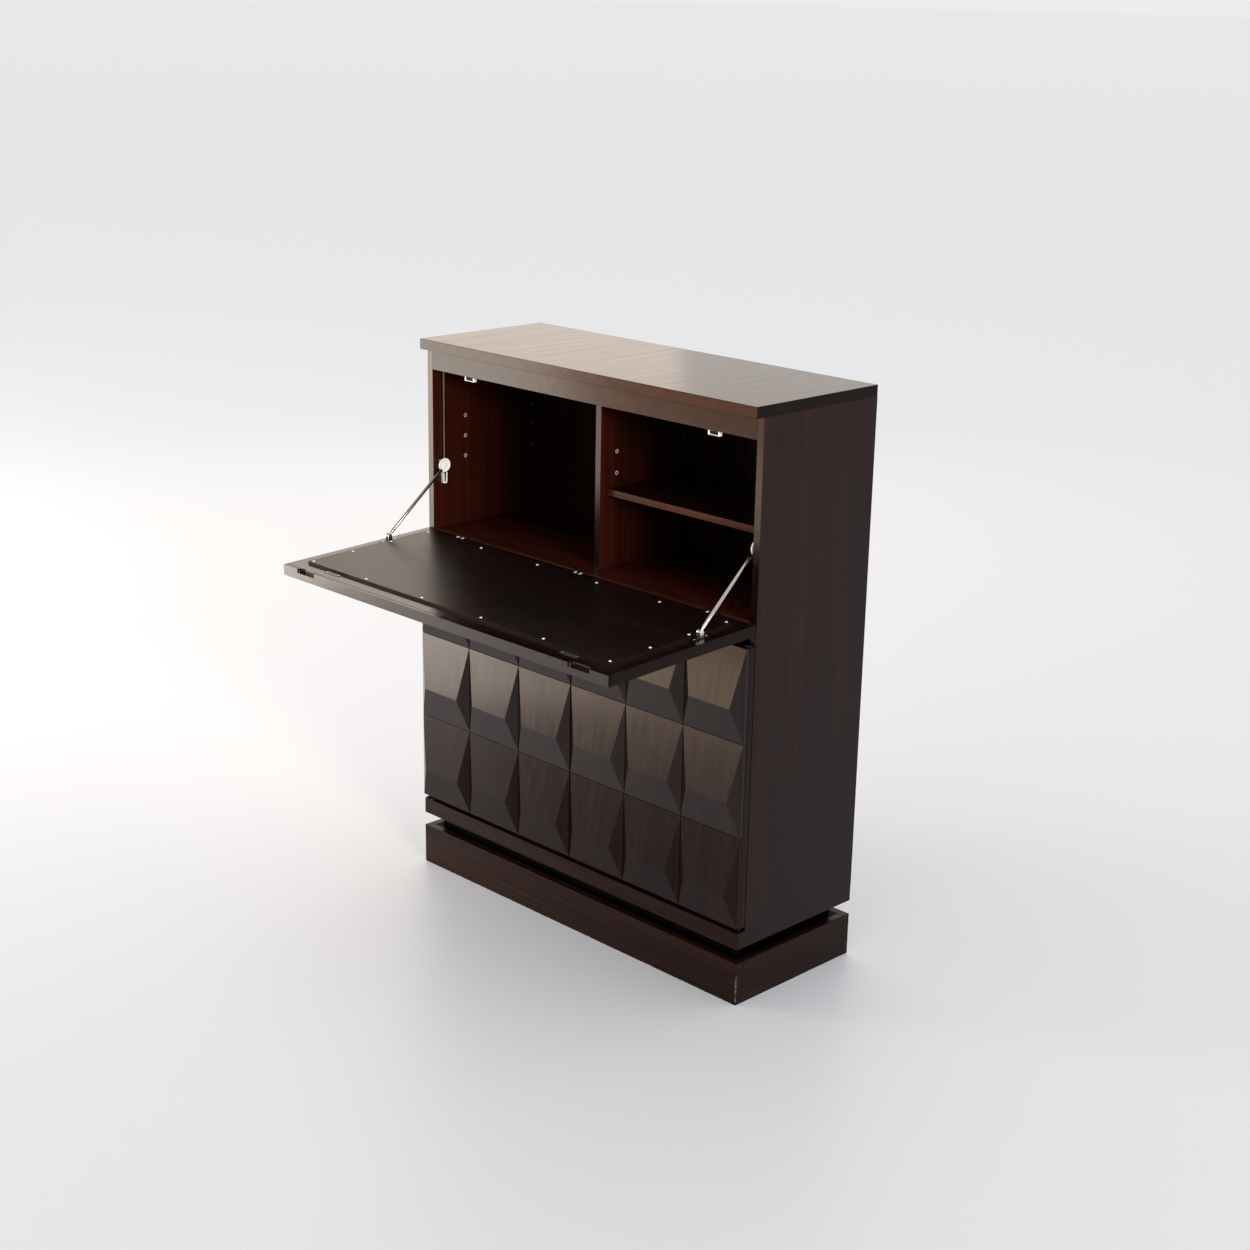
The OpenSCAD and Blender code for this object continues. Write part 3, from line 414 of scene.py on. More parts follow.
# painted shade: the rod is black where it stands in the fork's slot
blacken(darkRod, lambda tree, coordinates: layerMask(tree, coordinates, 2, rodFoot, beyond))
blackSteel = metal("blackenedSteel", "#2a2521", 0.4, 3.0, 0.08)  # pivots, leaves, feet: low gleam
sinteredMagnet = metal("sinteredFerriteMagnet", "#1f1e20", 0.55, 2.0, 0.1)  # nearly black, matt

yellowing = {"cloudMm": 12.0, "redShare": 0.9, "greenShare": 0.88, "blueShare": 0.82}


def mouldedPlastic(name, colour, roughness):  # pale, faintly yellowed, with a soft even gloss
    material, tree, shader, coordinates = newMaterial(name)
    noise = addNode(tree, "ShaderNodeTexNoise", {"Scale": 1 / (yellowing["cloudMm"] * mm), "Detail": 3.0},
                    {"Vector": coordinates})
    fresh = srgb(colour)
    shares = (yellowing["redShare"], yellowing["greenShare"], yellowing["blueShare"], 1.0)
    aged = [part * share for part, share in zip(fresh, shares)]
    tint = addNode(tree, "ShaderNodeMix", {"data_type": "RGBA", 6: fresh, 7: aged}, {0: noise.outputs[0]})
    tree.links.new(tint.outputs[2], shader.inputs["Base Color"])
    shader.inputs["Roughness"].default_value = roughness
    return material


nylon = mouldedPlastic("mouldedWhiteNylon", "#f6f5f1", 0.38)
zincGleamPaint = mouldedPlastic("whiteZincPlate", "#fbf9f4", 0.2)  # hinge leaves and liner screws: pale plating, drawn as a diffuse white that paints in the bright highlight of the metal leaves
bushNickel = mouldedPlastic("satinNickelBush", "#aaa59b", 0.2)  # bushes: pale rims round holes painted black as painted shade
blacken(bushNickel, bushRims)

finishes = {  # the CAD nodes that stay; the others are modelled again further down
    uprightVeneer: ["left_door_blocks", "right_door_blocks"],
    panelVeneer: ["left_door_panel", "right_door_panel"],
    levelVeneer: ["top_rail"],
    baseVeneer: ["base_board"],
    topVeneer: ["top_board"],
    neckShadeMaterial: ["neck_long_boards", "neck_short_boards", "plinth_top_panel"],
    flapVeneer: ["flap_panel"],
    linerBoard: ["flap_liner"],
    plinthVeneer: ["plinth_front", "plinth_back"],
    plinthEndVeneer: ["plinth_left", "plinth_right"],
    depthVeneer: ["plinth_brace"],
    leftVeneer: ["left_side"],
    rightVeneer: ["right_side"],
    dividerVeneer: ["compartment_divider"],
    backVeneer: ["upper_back_panel", "lower_back_panel", "lower_partition", "plinth_corner_blocks"],
    floorVeneer: ["compartment_floor"],
    shelfVeneer: ["upper_shelf", "lower_left_shelf", "lower_right_shelf"],
    lipping: ["floor_edge_strip"],
    brightNickel: ["upper_shelf_pins", "lower_shelf_pins"],
    bushNickel: ["shelf_hole_bushes"],
    dullSteel: ["flap_strike_plates", "left_door_strike", "right_door_strike"],
    darkRod: ["stay_rods"],
    blackSteel: ["left_door_pivot_cups", "right_door_pivot_cups", "door_pivot_brackets", "door_pivot_pins",
                 "flap_hinge_pins", "flap_hinge_leaves", "floor_hinge_leaves"],
    nylon: ["door_catch_housings", "left_stay_slider", "right_stay_slider"],
    sinteredMagnet: ["door_catch_magnets"],
}
for material, names in finishes.items():
    for name in names:
        mesh = nodes[name].data
        mesh.materials.clear()
        mesh.materials.append(material)
        for face in mesh.polygons:
            face.material_index = 0
print("finishes on the CAD nodes")

arrises = {  # node: width of the rubbed arris in mm
    "plinth_front": 1.2, "plinth_back": 1.2, "plinth_left": 1.2, "plinth_right": 1.2, "base_board": 1.2,
    "top_board": 1.0, "left_side": 0.8, "right_side": 0.8, "top_rail": 0.6, "flap_panel": 0.8,
    "flap_liner": 0.8, "compartment_divider": 0.6, "upper_shelf": 0.7, "floor_edge_strip": 0.5,
    "left_door_blocks": 0.5, "right_door_blocks": 0.5, "left_door_panel": 0.5, "right_door_panel": 0.5,
}
arrisLook = {"joinMetres": 1e-5, "flatDegrees": 0.5, "sharpDegrees": 12, "segments": 2, "flatWeight": 100}


def softenArris(piece, widthMm):  # joins the loose triangles, drops flat edges and rounds the sharp ones
    weld = piece.modifiers.new("joined", "WELD")
    weld.merge_threshold = arrisLook["joinMetres"]
    flat = piece.modifiers.new("flat", "DECIMATE")
    flat.decimate_type = "DISSOLVE"
    flat.angle_limit = math.radians(arrisLook["flatDegrees"])
    bevel = piece.modifiers.new("arris", "BEVEL")
    bevel.width = widthMm * mm
    bevel.segments = arrisLook["segments"]
    bevel.limit_method = "ANGLE"
    bevel.angle_limit = math.radians(arrisLook["sharpDegrees"])
    weighted = piece.modifiers.new("flatFaces", "WEIGHTED_NORMAL")  # the broad faces stay optically flat
    weighted.mode = "FACE_AREA"
    weighted.weight = arrisLook["flatWeight"]


for name, width in arrises.items():
    softenArris(nodes[name], width)
print("arrises softened")


def pickFaces(piece, wanted):  # in edit mode: selects just the faces whose middle and normal pass the test
    bpy.ops.mesh.select_mode(type="FACE")
    bpy.ops.mesh.select_all(action="DESELECT")
    shape = bmesh.from_edit_mesh(piece.data)
    for face in shape.faces:
        face.select_set(wanted(face.calc_center_median(), face.normal))
    bmesh.update_edit_mesh(piece.data)


def growFaces(along, widen=1.0):  # extrudes the selected faces by a vector, then scales the new ones
    bpy.ops.mesh.extrude_region_move(TRANSFORM_OT_translate={"value": along})
    bpy.ops.transform.resize(value=(widen, widen, widen))


rounding = {"segments": 2, "sharpDegrees": 30, "smoothDegrees": 35}


def roundEdges(piece, widthMm):
    bevel = piece.modifiers.new("rounded", "BEVEL")
    bevel.width = widthMm * mm
    bevel.segments = rounding["segments"]
    bevel.limit_method = "ANGLE"
    bevel.angle_limit = math.radians(rounding["sharpDegrees"])
    bpy.ops.object.modifier_apply(modifier=bevel.name)
    bpy.ops.object.shade_smooth_by_angle(angle=math.radians(rounding["smoothDegrees"]))


def settle(piece, place):  # moves a finished shape to its place and leaves the object at the origin
    bpy.ops.object.select_all(action="DESELECT")
    piece.select_set(True)
    bpy.context.view_layer.objects.active = piece
    piece.matrix_world = place
    bpy.ops.object.transform_apply(location=True, rotation=True, scale=True)


roundSides = {"small": 24, "middle": 32, "large": 56}  # sides of a cylinder, by its width


def addRound(sides, radiusMm, deepMm):  # a new cylinder on its own, standing on z = 0
    bpy.ops.object.select_all(action="DESELECT")
    bpy.ops.mesh.primitive_cylinder_add(vertices=sides, radius=radiusMm * mm, depth=deepMm * mm,
                                        location=(0, 0, deepMm * mm / 2))
    bpy.ops.object.transform_apply(location=True)
    return bpy.context.object


def finishPiece(parts, name, material, body):  # joins, names, paints and attaches a new piece
    bpy.ops.object.select_all(action="DESELECT")
    for part in parts:
        part.select_set(True)
    bpy.context.view_layer.objects.active = parts[0]
    if len(parts) > 1:
        bpy.ops.object.join()
    piece = bpy.context.object
    piece.name = name
    piece.data.materials.clear()
    piece.data.materials.append(material)
    for face in piece.data.polygons:
        face.material_index = 0
    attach(piece, body)
    return piece


def addBlock(low, high):  # a new box on its own between two corners, in metres
    bpy.ops.object.select_all(action="DESELECT")
    middle = [(a + b) / 2 for a, b in zip(low, high)]
    bpy.ops.mesh.primitive_cube_add(size=1.0, location=middle)
    block = bpy.context.object
    block.scale = [b - a for a, b in zip(low, high)]
    bpy.ops.object.transform_apply(location=True, rotation=True, scale=True)
    return block


def cutAway(piece, cutter):  # subtracts one shape from another and removes the cutter
    bpy.ops.object.select_all(action="DESELECT")
    piece.select_set(True)
    bpy.context.view_layer.objects.active = piece
    cut = piece.modifiers.new("cut", "BOOLEAN")
    cut.operation = "DIFFERENCE"
    cut.solver = "EXACT"
    cut.object = cutter
    bpy.ops.object.modifier_apply(modifier=cut.name)
    bpy.data.objects.remove(cutter, do_unlink=True)


flapHinge = joints["flap_hinge"]
droop = math.radians(flapHinge["range_deg"][1] - 90)  # shut, the flap stands upright


def onFlap(x, out, rise=0.0):  # a place on the open flap, its z along the flap's upward normal
    hingeY, hingeZ = flapHinge["pos_m"][1:]
    y = hingeY - out * math.cos(droop) - rise * math.sin(droop)
    z = hingeZ - out * math.sin(droop) + rise * math.cos(droop)
    return Matrix.Translation((x, y, z)) @ Matrix.Rotation(droop, 4, "X")


# Stay arms: a chromed rod from an eye at the flap to the rim of a white nylon disc
sliderY, sliderZ = joints["right_slider_travel"]["pos_m"][1:]
stayArm = {
    "footPivot": joints["right_stay_pivot"]["pos_m"][1:], "topPivot": (sliderY - 0.005, sliderZ),  # y, z
    "footX": 0.5327, "topX": 0.5257, "rodMm": 8.0, "neckMm": 5.2, "neckLongMm": 6.0, "coneMm": 3.0,
    "rodRoundMm": 0.4, "rimReachShare": 0.43, "eyeMm": 10.6, "eyeThickMm": 5.6, "eyeReachShare": 0.8,
    "eyeRingMm": 1.7, "eyeSunkMm": 0.4, "eyeRoundMm": 0.5, "discMm": 35.0, "discFromX": 0.526,
    "discThickMm": 3.9, "discRoundMm": 0.4, "rimMm": 1.8, "dishMm": 0.7, "dishShare": 0.98, "bossMm": 11.0,
    "bossRiseShare": 0.8, "bossTopShare": 0.93,
}


def makeStayRod(side, look):  # side: -1 left, 1 right
    foot = Vector((side * look["footX"], *look["footPivot"]))
    top = Vector((side * look["topX"], *look["topPivot"]))
    lengthways = (top - foot).to_track_quat("Z", "Y").to_matrix().to_4x4()
    start = look["eyeMm"] / 2 * mm * look["eyeReachShare"]
    ends = (look["neckLongMm"] + look["coneMm"] + look["discMm"] * look["rimReachShare"]) * mm
    rod = addRound(roundSides["small"], look["neckMm"] / 2, look["neckLongMm"])
    bpy.ops.object.mode_set(mode="EDIT")
    pickFaces(rod, lambda middle, normal: normal.z > facing)
    growFaces((0, 0, look["coneMm"] * mm), look["rodMm"] / look["neckMm"])  # from the neck to the full rod
    growFaces((0, 0, (top - foot).length - start - ends))
    bpy.ops.object.mode_set(mode="OBJECT")
    roundEdges(rod, look["rodRoundMm"])
    settle(rod, Matrix.Translation(foot) @ lengthways @ Matrix.Translation((0, 0, start)))
    eye = addRound(roundSides["middle"], look["eyeMm"] / 2, look["eyeThickMm"])
    bpy.ops.object.mode_set(mode="EDIT")
    pickFaces(eye, lambda middle, normal: abs(normal.z) > facing)
    bpy.ops.mesh.inset(thickness=look["eyeRingMm"] * mm)  # a flat ring round the pin, sunk a little
    bpy.ops.mesh.extrude_region_shrink_fatten(TRANSFORM_OT_shrink_fatten={"value": -look["eyeSunkMm"] * mm})
    bpy.ops.object.mode_set(mode="OBJECT")
    roundEdges(eye, look["eyeRoundMm"])
    across = Matrix.Rotation(math.pi / 2, 4, "Y")
    centred = Matrix.Translation((0, 0, -look["eyeThickMm"] / 2 * mm))
    settle(eye, Matrix.Translation(foot) @ across @ centred)
    return [rod, eye]


def makeStayDisc(side, look):
    disc = addRound(roundSides["large"], look["discMm"] / 2, look["discThickMm"])
    bpy.ops.object.mode_set(mode="EDIT")
    pickFaces(disc, lambda middle, normal: normal.z > facing)
    bpy.ops.mesh.inset(thickness=look["rimMm"] * mm)
    growFaces((0, 0, -look["dishMm"] * mm), look["dishShare"])
    bpy.ops.mesh.inset(thickness=(look["discMm"] / 2 - look["rimMm"] - look["bossMm"] / 2) * mm)
    growFaces((0, 0, look["dishMm"] * look["bossRiseShare"] * mm), look["bossTopShare"])  # boss on the pin
    bpy.ops.object.mode_set(mode="OBJECT")
    roundEdges(disc, look["discRoundMm"])
    inward = Matrix.Rotation(-side * math.pi / 2, 4, "Y")  # its dished face looks to the cabinet's middle
    backX = look["discFromX"] + look["discThickMm"] * mm
    settle(disc, Matrix.Translation((side * backX, *look["topPivot"])) @ inward)
    return [disc]


# Feet of the stays: a dark plate screwed to the flap, two bright cheeks and the pin that the eye turns on
footOuter = highOf("flap_stay_feet", 0)
stayFoot = {
    "x": (footOuter - 0.0135, footOuter), "out": (0.125, 0.175), "pinOut": 0.15, "pinUp": 0.014,
    "plateMm": 1.8, "plateSunk": 0.0002, "plateRimMm": 1.2, "plateProudMm": 0.3, "roundMm": 0.3,
    "cheekX": ((0.5266, 0.5288), (0.5366, 0.5388)), "cheekLongMm": 11.0, "cheekDown": 0.01,
    "lowerFrom": 0.05, "lugFlatShare": 0.02, "pinMm": 5.0, "pinShortMm": 0.6, "rivetRimMm": 0.8,
    "rivetMm": 0.5, "pinRoundMm": 0.2,
}


def makeFootPlate(side, look):
    fromX, toX = sorted((side * look["x"][0], side * look["x"][1]))
    plate = addBlock((fromX, -look["out"][1], -look["plateSunk"]),
                     (toX, -look["out"][0], look["plateMm"] * mm))
    bpy.ops.object.mode_set(mode="EDIT")
    pickFaces(plate, lambda middle, normal: normal.z > facing)
    bpy.ops.mesh.inset(thickness=look["plateRimMm"] * mm)
    bpy.ops.transform.translate(value=(0, 0, look["plateProudMm"] * mm))  # its middle is pressed proud
    bpy.ops.object.mode_set(mode="OBJECT")
    roundEdges(plate, look["roundMm"])
    settle(plate, onFlap(0.0, 0.0))
    return plate


def makeCheek(side, span, look):
    cheek = addRound(roundSides["middle"], look["cheekLongMm"] / 2, (span[1] - span[0]) / mm)
    bpy.ops.object.mode_set(mode="EDIT")
    pickFaces(cheek, lambda middle, normal: abs(normal.z) < facing and normal.x > look["lowerFrom"])
    bpy.ops.mesh.extrude_region_move(TRANSFORM_OT_translate={"value": (look["cheekDown"], 0, 0)})
    bpy.ops.transform.resize(value=(look["lugFlatShare"], 1.0, 1.0))  # the lower half is a straight lug
    bpy.ops.object.mode_set(mode="OBJECT")
    roundEdges(cheek, look["roundMm"])
    lowX = min(side * span[0], side * span[1])
    across = Matrix.Translation((lowX, 0, 0)) @ Matrix.Rotation(math.pi / 2, 4, "Y")
    settle(cheek, onFlap(0.0, look["pinOut"], look["pinUp"]) @ across)
    return cheek


def makeFootPin(side, look):
    reach = (look["x"][1] - look["x"][0]) / mm
    pin = addRound(roundSides["small"], look["pinMm"] / 2, reach - 2 * look["pinShortMm"])
    bpy.ops.object.mode_set(mode="EDIT")
    pickFaces(pin, lambda middle, normal: abs(normal.z) > facing)
    bpy.ops.mesh.inset(thickness=look["rivetRimMm"] * mm)  # riveted ends
    bpy.ops.mesh.extrude_region_shrink_fatten(TRANSFORM_OT_shrink_fatten={"value": look["rivetMm"] * mm})
    bpy.ops.object.mode_set(mode="OBJECT")
    roundEdges(pin, look["pinRoundMm"])
    lowX = min(side * look["x"][0], side * look["x"][1]) + look["pinShortMm"] * mm
    across = Matrix.Translation((lowX, 0, 0)) @ Matrix.Rotation(math.pi / 2, 4, "Y")
    settle(pin, onFlap(0.0, look["pinOut"], look["pinUp"]) @ across)
    return pin


# Forks that take the foot of each upright rod, and the sockets at its top
holderLow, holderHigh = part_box("stay_rod_holders")
rodHolder = {
    "x": (0.5302, 0.5409), "y": (holderLow[1] + skin, holderHigh[1] - skin), "forkZ": (1.0302, 1.0578),
    "forkFootShare": 0.8, "forkRoundMm": 0.5, "rodX": 0.535, "rodY": sliderY, "slotMm": 7.0,
    "slotZ": (1.0335, 1.07), "slotOpen": 0.001, "slotDeepMm": 7.0, "socketZ": (1.3146, 1.3224),
    "socketFootShare": 0.85, "socketRoundMm": 1.2, "pinMm": 6.6, "pinLongMm": 15.5, "pinLift": 0.0005,
    "pointShare": 0.15, "pointTipShare": 0.75, "pinRoundMm": 0.3,
}


def makeFork(side, look):
    fromX, toX = sorted((side * look["x"][0], side * look["x"][1]))
    fork = addBlock((fromX, look["y"][0], look["forkZ"][0]), (toX, look["y"][1], look["forkZ"][1]))
    bpy.ops.object.mode_set(mode="EDIT")
    pickFaces(fork, lambda middle, normal: normal.z < -facing)
    bpy.ops.transform.resize(value=(1.0, look["forkFootShare"], 1.0))  # narrower at its foot
    bpy.ops.object.mode_set(mode="OBJECT")
    half = look["slotMm"] / 2 * mm
    mouth = side * (look["x"][0] - look["slotOpen"])
    end = side * (look["x"][0] + look["slotDeepMm"] * mm)
    slotFrom, slotTo = sorted((mouth, end))
    cutter = addBlock((slotFrom, look["rodY"] - half, look["slotZ"][0]),
                      (slotTo, look["rodY"] + half, look["slotZ"][1]))
    cutAway(fork, cutter)
    roundEdges(fork, look["forkRoundMm"])
    return [fork]


def makeSocket(side, look):
    fromX, toX = sorted((side * look["x"][0], side * look["x"][1]))
    socket = addBlock((fromX, look["y"][0], look["socketZ"][0]), (toX, look["y"][1], look["socketZ"][1]))
    bpy.ops.object.mode_set(mode="EDIT")
    pickFaces(socket, lambda middle, normal: normal.z < -facing)
    bpy.ops.transform.resize(value=(1.0, look["socketFootShare"], 1.0))
    bpy.ops.object.mode_set(mode="OBJECT")
    roundEdges(socket, look["socketRoundMm"])
    return [socket]


def makeSlotShadePin(side, look):  # a dark pin below the upright rod that fills the fork's slot: painted shade for the slot's dark inside
    pointMm = look["pinLongMm"] * look["pointShare"]
    pin = addRound(roundSides["small"], look["pinMm"] / 2, look["pinLongMm"] - pointMm)
    bpy.ops.object.mode_set(mode="EDIT")
    pickFaces(pin, lambda middle, normal: normal.z < -facing)
    growFaces((0, 0, -pointMm * mm), look["pointTipShare"])  # blunt point
    bpy.ops.object.mode_set(mode="OBJECT")
    roundEdges(pin, look["pinRoundMm"])
    low = look["slotZ"][0] + look["pinLift"] + pointMm * mm
    settle(pin, Matrix.Translation((side * look["rodX"], look["rodY"], low)))
    return [pin]


forks, sockets, plates, lugs = [], [], [], []
# the left arm's darker chrome is painted shade
stays = ((-1, "Left", "left_stay_arm", shadedChrome), (1, "Right", "right_stay_arm", chromedSteel))
for side, word, body, plating in stays:
    rod = finishPiece(makeStayRod(side, stayArm), "stayRod" + word, plating, body)
    disc = finishPiece(makeStayDisc(side, stayArm), "stayDisc" + word, nylon, body)
    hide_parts(body)
    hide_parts(body)
    forks += makeFork(side, rodHolder)
    sockets += makeSocket(side, rodHolder) + makeSlotShadePin(side, rodHolder)
    plates.append(makeFootPlate(side, stayFoot))
    lugs += [makeCheek(side, span, stayFoot) for span in stayFoot["cheekX"]]
    lugs.append(makeFootPin(side, stayFoot))
forks = finishPiece(forks, "rodForks", nylon, "carcass")
# the dark pins in the forks' slots are painted shade
sockets = finishPiece(sockets, "rodSocketsAndFeet", blackSteel, "carcass")
plates = finishPiece(plates, "stayFootPlates", blackSteel, "flap")
lugs = finishPiece(lugs, "stayFootLugs", brightNickel, "flap")
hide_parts("flap_stay_feet")
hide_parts("flap_stay_feet", "stay_foot_pins")
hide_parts("stay_rod_holders")
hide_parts("stay_rod_holders")
print("stays modelled")

# Magnet catches under the rail: a white nylon frame round a dark mouth, with a thin screwed flange
catchBack = highOf("flap_catch_housings", 1)
railLow = lowOf("top_rail", 2)
flapCatch = {
    "middleX": 0.408, "halfMm": 17.0, "y": (catchBack - 0.01, catchBack),
    "z": (railLow - 0.012, railLow - 0.0003), "frameMm": 1.5, "mouthShare": 0.86, "mouthDeepMm": 4.5,
    "roundMm": 0.4, "flangeHalfMm": 25.0, "flangeZ": (railLow - 0.0018, railLow - 0.0002),
    "poleMm": 2.0, "poleLow": 0.0022, "poleRimMm": 0.6, "poleProudMm": 0.4,
}


def makeCatch(side, look):
    middle, half = side * look["middleX"], look["halfMm"] * mm
    body = addBlock((middle - half, look["y"][0], look["z"][0]), (middle + half, look["y"][1], look["z"][1]))
    bpy.ops.object.mode_set(mode="EDIT")
    pickFaces(body, lambda centre, normal: normal.y < -facing)
    bpy.ops.mesh.inset(thickness=look["frameMm"] * mm)
    bpy.ops.transform.resize(value=(look["mouthShare"], 1.0, 1.0))
    bpy.ops.mesh.extrude_region_move(TRANSFORM_OT_translate={"value": (0, look["mouthDeepMm"] * mm, 0)})
    bpy.ops.object.mode_set(mode="OBJECT")
    roundEdges(body, look["roundMm"])
    wide = look["flangeHalfMm"] * mm
    flange = addBlock((middle - wide, look["y"][0], look["flangeZ"][0]),
                      (middle + wide, look["y"][1], look["flangeZ"][1]))
    roundEdges(flange, look["roundMm"])
    return [body, flange]


def makePole(side, look):  # the magnet's dark face, raised inside its rim, deep in the mouth
    middle, reach = side * look["middleX"], look["halfMm"] * look["mouthShare"] * mm
    deep = look["y"][0] + (look["mouthDeepMm"] - look["poleMm"]) * mm
    pole = addBlock((middle - reach, deep, look["z"][0] + look["poleLow"]),
                    (middle + reach, deep + look["poleMm"] * mm, look["z"][1] - look["poleLow"]))
    bpy.ops.object.mode_set(mode="EDIT")
    pickFaces(pole, lambda centre, normal: normal.y < -facing)
    bpy.ops.mesh.inset(thickness=look["poleRimMm"] * mm)
    bpy.ops.mesh.extrude_region_move(TRANSFORM_OT_translate={"value": (0, -look["poleProudMm"] * mm, 0)})
    bpy.ops.object.mode_set(mode="OBJECT")
    return pole


frames, poles = [], []
for side in (-1, 1):
    frames += makeCatch(side, flapCatch)
    poles.append(makePole(side, flapCatch))
catchFrames = finishPiece(frames, "flapCatchFrames", nylon, "carcass")
catchMouths = finishPiece(poles, "flapCatchPoles", sinteredMagnet, "carcass")
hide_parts("flap_catch_housings")
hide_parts("flap_catch_magnets")
print("flap catches modelled")

# Cross-head screws: a low domed head with a cross pressed into it
linerScrew = {"headMm": 6.8, "riseMm": 1.0, "crossMm": 4.0, "slotMm": 0.9, "deepMm": 0.6}
smallScrew = {"headMm": 5.6, "riseMm": 0.8, "crossMm": 3.2, "slotMm": 0.6, "deepMm": 0.45}
backScrew = {"headMm": 7.0, "riseMm": 2.4, "crossMm": 4.0, "slotMm": 0.9, "deepMm": 1.0}
screwDome = {  # shares of a head's height, and how much narrower each step of the dome is
    "rimShare": 0.5, "stepShares": ((0.25, 0.93), (0.17, 0.85), (0.08, 0.78)), "smoothDegrees": 25,
    "turnDegrees": 37,  # from one screw to the next, so that no two are driven home alike
}


def makeScrew(look):
    rise = look["riseMm"]
    head = addRound(roundSides["small"], look["headMm"] / 2, rise * screwDome["rimShare"])
    bpy.ops.object.mode_set(mode="EDIT")
    pickFaces(head, lambda middle, normal: normal.z > facing)
    for riseShare, topShare in screwDome["stepShares"]:
        growFaces((0, 0, rise * riseShare * mm), topShare)
    bpy.ops.object.mode_set(mode="OBJECT")
    long, thin, deep = look["crossMm"] / 2 * mm, look["slotMm"] / 2 * mm, look["deepMm"] * mm
    for alongX, alongY in ((long, thin), (thin, long)):  # two crossed cuts press the recess
        cutAway(head, addBlock((-alongX, -alongY, rise * mm - deep), (alongX, alongY, rise * mm + deep)))
    bpy.ops.object.shade_smooth_by_angle(angle=math.radians(screwDome["smoothDegrees"]))
    return head


def scatterScrews(name, look, places, body, material):  # one screw at each place, joined into one piece
    source = makeScrew(look)
    copies = []
    for i, place in enumerate(places):
        bpy.ops.object.select_all(action="DESELECT")
        source.select_set(True)
        bpy.context.view_layer.objects.active = source
        bpy.ops.object.duplicate()
        copy = bpy.context.object
        settle(copy, place @ Matrix.Rotation(math.radians(screwDome["turnDegrees"] * i), 4, "Z"))
        copies.append(copy)
    bpy.data.objects.remove(source, do_unlink=True)
    return finishPiece(copies, name, material, body)


linerPlaces = {"longX": (-0.51, -0.306, -0.102, 0.102, 0.306, 0.51), "rows": (0.043, 0.397),
               "endRows": (0.161, 0.279), "rise": 0.006}
spots = [(x, out) for x in linerPlaces["longX"] for out in linerPlaces["rows"]]
spots += [(x, out) for x in (linerPlaces["longX"][0], linerPlaces["longX"][-1])
          for out in linerPlaces["endRows"]]
linerScrews = scatterScrews("linerScrews", linerScrew,
                            [onFlap(x, out, linerPlaces["rise"]) for x, out in spots], "flap", zincGleamPaint)
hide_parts("liner_screws")

plateSpots = {"strikeX": (0.3865, 0.4295), "strikeOut": 0.417, "strikeRise": 0.0004,
              "footX": 0.5327, "footOut": (0.131, 0.169), "footRise": 0.0021}
spots = [onFlap(side * x, plateSpots["strikeOut"], plateSpots["strikeRise"])
         for side in (-1, 1) for x in plateSpots["strikeX"]]
spots += [onFlap(side * plateSpots["footX"], out, plateSpots["footRise"])
          for side in (-1, 1) for out in plateSpots["footOut"]]
scatterScrews("plateScrews", smallScrew, spots, "flap", brightNickel)

backSpots = {"sideX": 0.5455, "sideZ": (0.22, 0.4347, 0.6493, 0.864, 0.944, 1.139, 1.334),
             "floorX": (-0.2705, 0.0, 0.2705), "floorZ": (0.8985, 0.9095), "faceY": 0.198}
towardsBack = Matrix.Rotation(-math.pi / 2, 4, "X")
spots = [(side * backSpots["sideX"], z) for side in (-1, 1) for z in backSpots["sideZ"]]
spots += [(x, z) for x in backSpots["floorX"] for z in backSpots["floorZ"]]
backScrews = scatterScrews("backScrews", backScrew,
                           [Matrix.Translation((x, backSpots["faceY"], z)) @ towardsBack for x, z in spots],
                           "carcass", brightNickel)
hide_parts("back_panel_screws")
print("screws driven")

# Hinge tongues: each flap hinge shows two bright narrow leaves lying on the flap's veneer, painted white as
# a painted highlight
hingeTongue = {"hingeX": (-0.428, 0.0, 0.428), "apart": 0.0085, "wideMm": 5.6, "fromOut": 0.003,
               "toOut": 0.0232, "riseMm": 0.9, "sunkMm": 0.6, "topShares": (0.8, 0.94, 1.0),
               "roundMm": 0.3}
tongues = []
for x in [hinge + side * hingeTongue["apart"] for hinge in hingeTongue["hingeX"] for side in (-1, 1)]:
    half = hingeTongue["wideMm"] / 2 * mm
    tongue = addBlock((-half, -hingeTongue["toOut"], -hingeTongue["sunkMm"] * mm),
                      (half, -hingeTongue["fromOut"], hingeTongue["riseMm"] * mm))
    bpy.ops.object.mode_set(mode="EDIT")
    pickFaces(tongue, lambda middle, normal: normal.z > facing)
    bpy.ops.transform.resize(value=hingeTongue["topShares"])  # bevelled top
    bpy.ops.object.mode_set(mode="OBJECT")
    roundEdges(tongue, hingeTongue["roundMm"])
    settle(tongue, onFlap(x, 0.0))
    tongues.append(tongue)
finishPiece(tongues, "hingeTongues", zincGleamPaint, "flap")
print("hinges detailed")

stageLook = {"floorMetres": 400.0, "floorColour": "#ededee", "floorRough": 0.4,
             "floorGlow": "#cfe0ff", "glowStrength": 0.07,  # cool white, half matt
             "roomColour": "#f8f8f7", "roomStrength": 0.9}


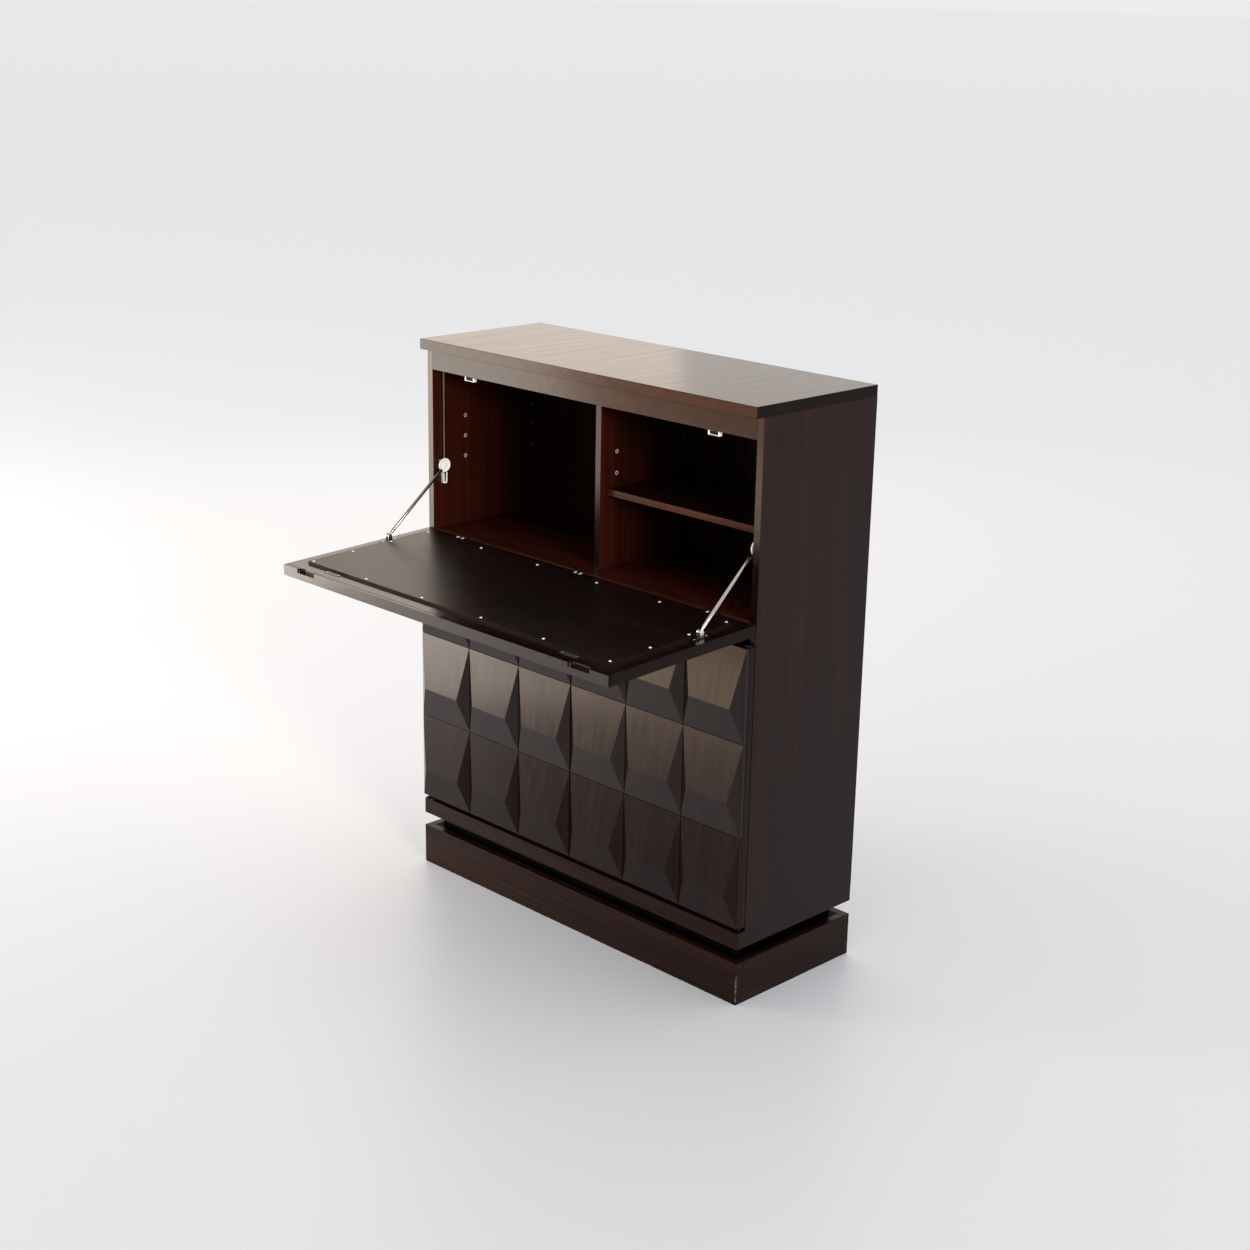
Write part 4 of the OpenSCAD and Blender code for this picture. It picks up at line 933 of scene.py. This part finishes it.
def makeFloor(look):
    bpy.ops.object.select_all(action="DESELECT")
    bpy.ops.mesh.primitive_plane_add(size=look["floorMetres"])
    floor = bpy.context.object
    floor.name = "studioFloor"
    material, tree, shader, coordinates = newMaterial("paleStudioFloor")
    shader.inputs["Base Color"].default_value = srgb(look["floorColour"])
    shader.inputs["Roughness"].default_value = look["floorRough"]
    shader.inputs["Emission Color"].default_value = srgb(look["floorGlow"])
    shader.inputs["Emission Strength"].default_value = look["glowStrength"]
    floor.data.materials.append(material)


makeFloor(stageLook)
world = bpy.data.worlds.new("paleRoom")
bpy.context.scene.world = world
world.use_nodes = True
background = world.node_tree.nodes["Background"]
background.inputs[0].default_value = srgb(stageLook["roomColour"])
background.inputs[1].default_value = stageLook["roomStrength"]
bpy.context.scene.view_settings.view_transform = "Standard"  # plain photograph-like contrast

lamps = [  # name, place, aim, size, watts, colour, spread in degrees
    ("windowLamp", (-5.3, -3.5, 1.22), (-5.3, 0.0, 1.22), (3.4, 2.4), 262.0, "#fff1e0", 180),
    ("sunPatch", (-3.6, -2.65, 0.02), (-3.6, -2.65, 1.0), (2.2, 1.7), 47.0, "#ffeedd", 180),
    ("wallGlow", (-4.2, 2.8, 3.1), (0.0, 0.0, 1.4), (2.6, 2.4), 13.0, "#ffe2c6", 180),
    ("wallGlowWide", (-3.7, 3.6, 3.1), (0.0, 0.0, 1.4), (3.6, 2.4), 12.0, "#ffe2c6", 180),
    ("warmBounce", (-2.85, -3.5, 0.52), (0.0, -0.2, 1.38), (1.3, 0.3), 4.0, "#ff9a4a", 180),
    ("doorwayGlow", (-2.65, -3.5, 0.17), (-2.65, 0.0, 0.17), (1.7, 0.3), 6.5, "#ffdcae", 180),
    ("rightFill", (4.4, -1.9, 2.2), (-0.5, -0.2, 1.15), (1.2, 1.2), 7.5, "#fffaf4", 30),
]
for name, place, aim, size, watts, colour, spreadDegrees in lamps:
    data = bpy.data.lights.new(name, "AREA")
    data.shape = "RECTANGLE"
    data.size, data.size_y = size
    data.energy = watts
    data.color = srgb(colour)[:3]
    data.spread = math.radians(spreadDegrees)
    lamp = bpy.data.objects.new(name, data)
    turn = (Vector(aim) - Vector(place)).to_track_quat("-Z", "Y")
    lamp.matrix_world = Matrix.Translation(place) @ turn.to_matrix().to_4x4()
    bpy.context.scene.collection.objects.link(lamp)
    lamp.visible_camera = False
print("stage and lamps set")
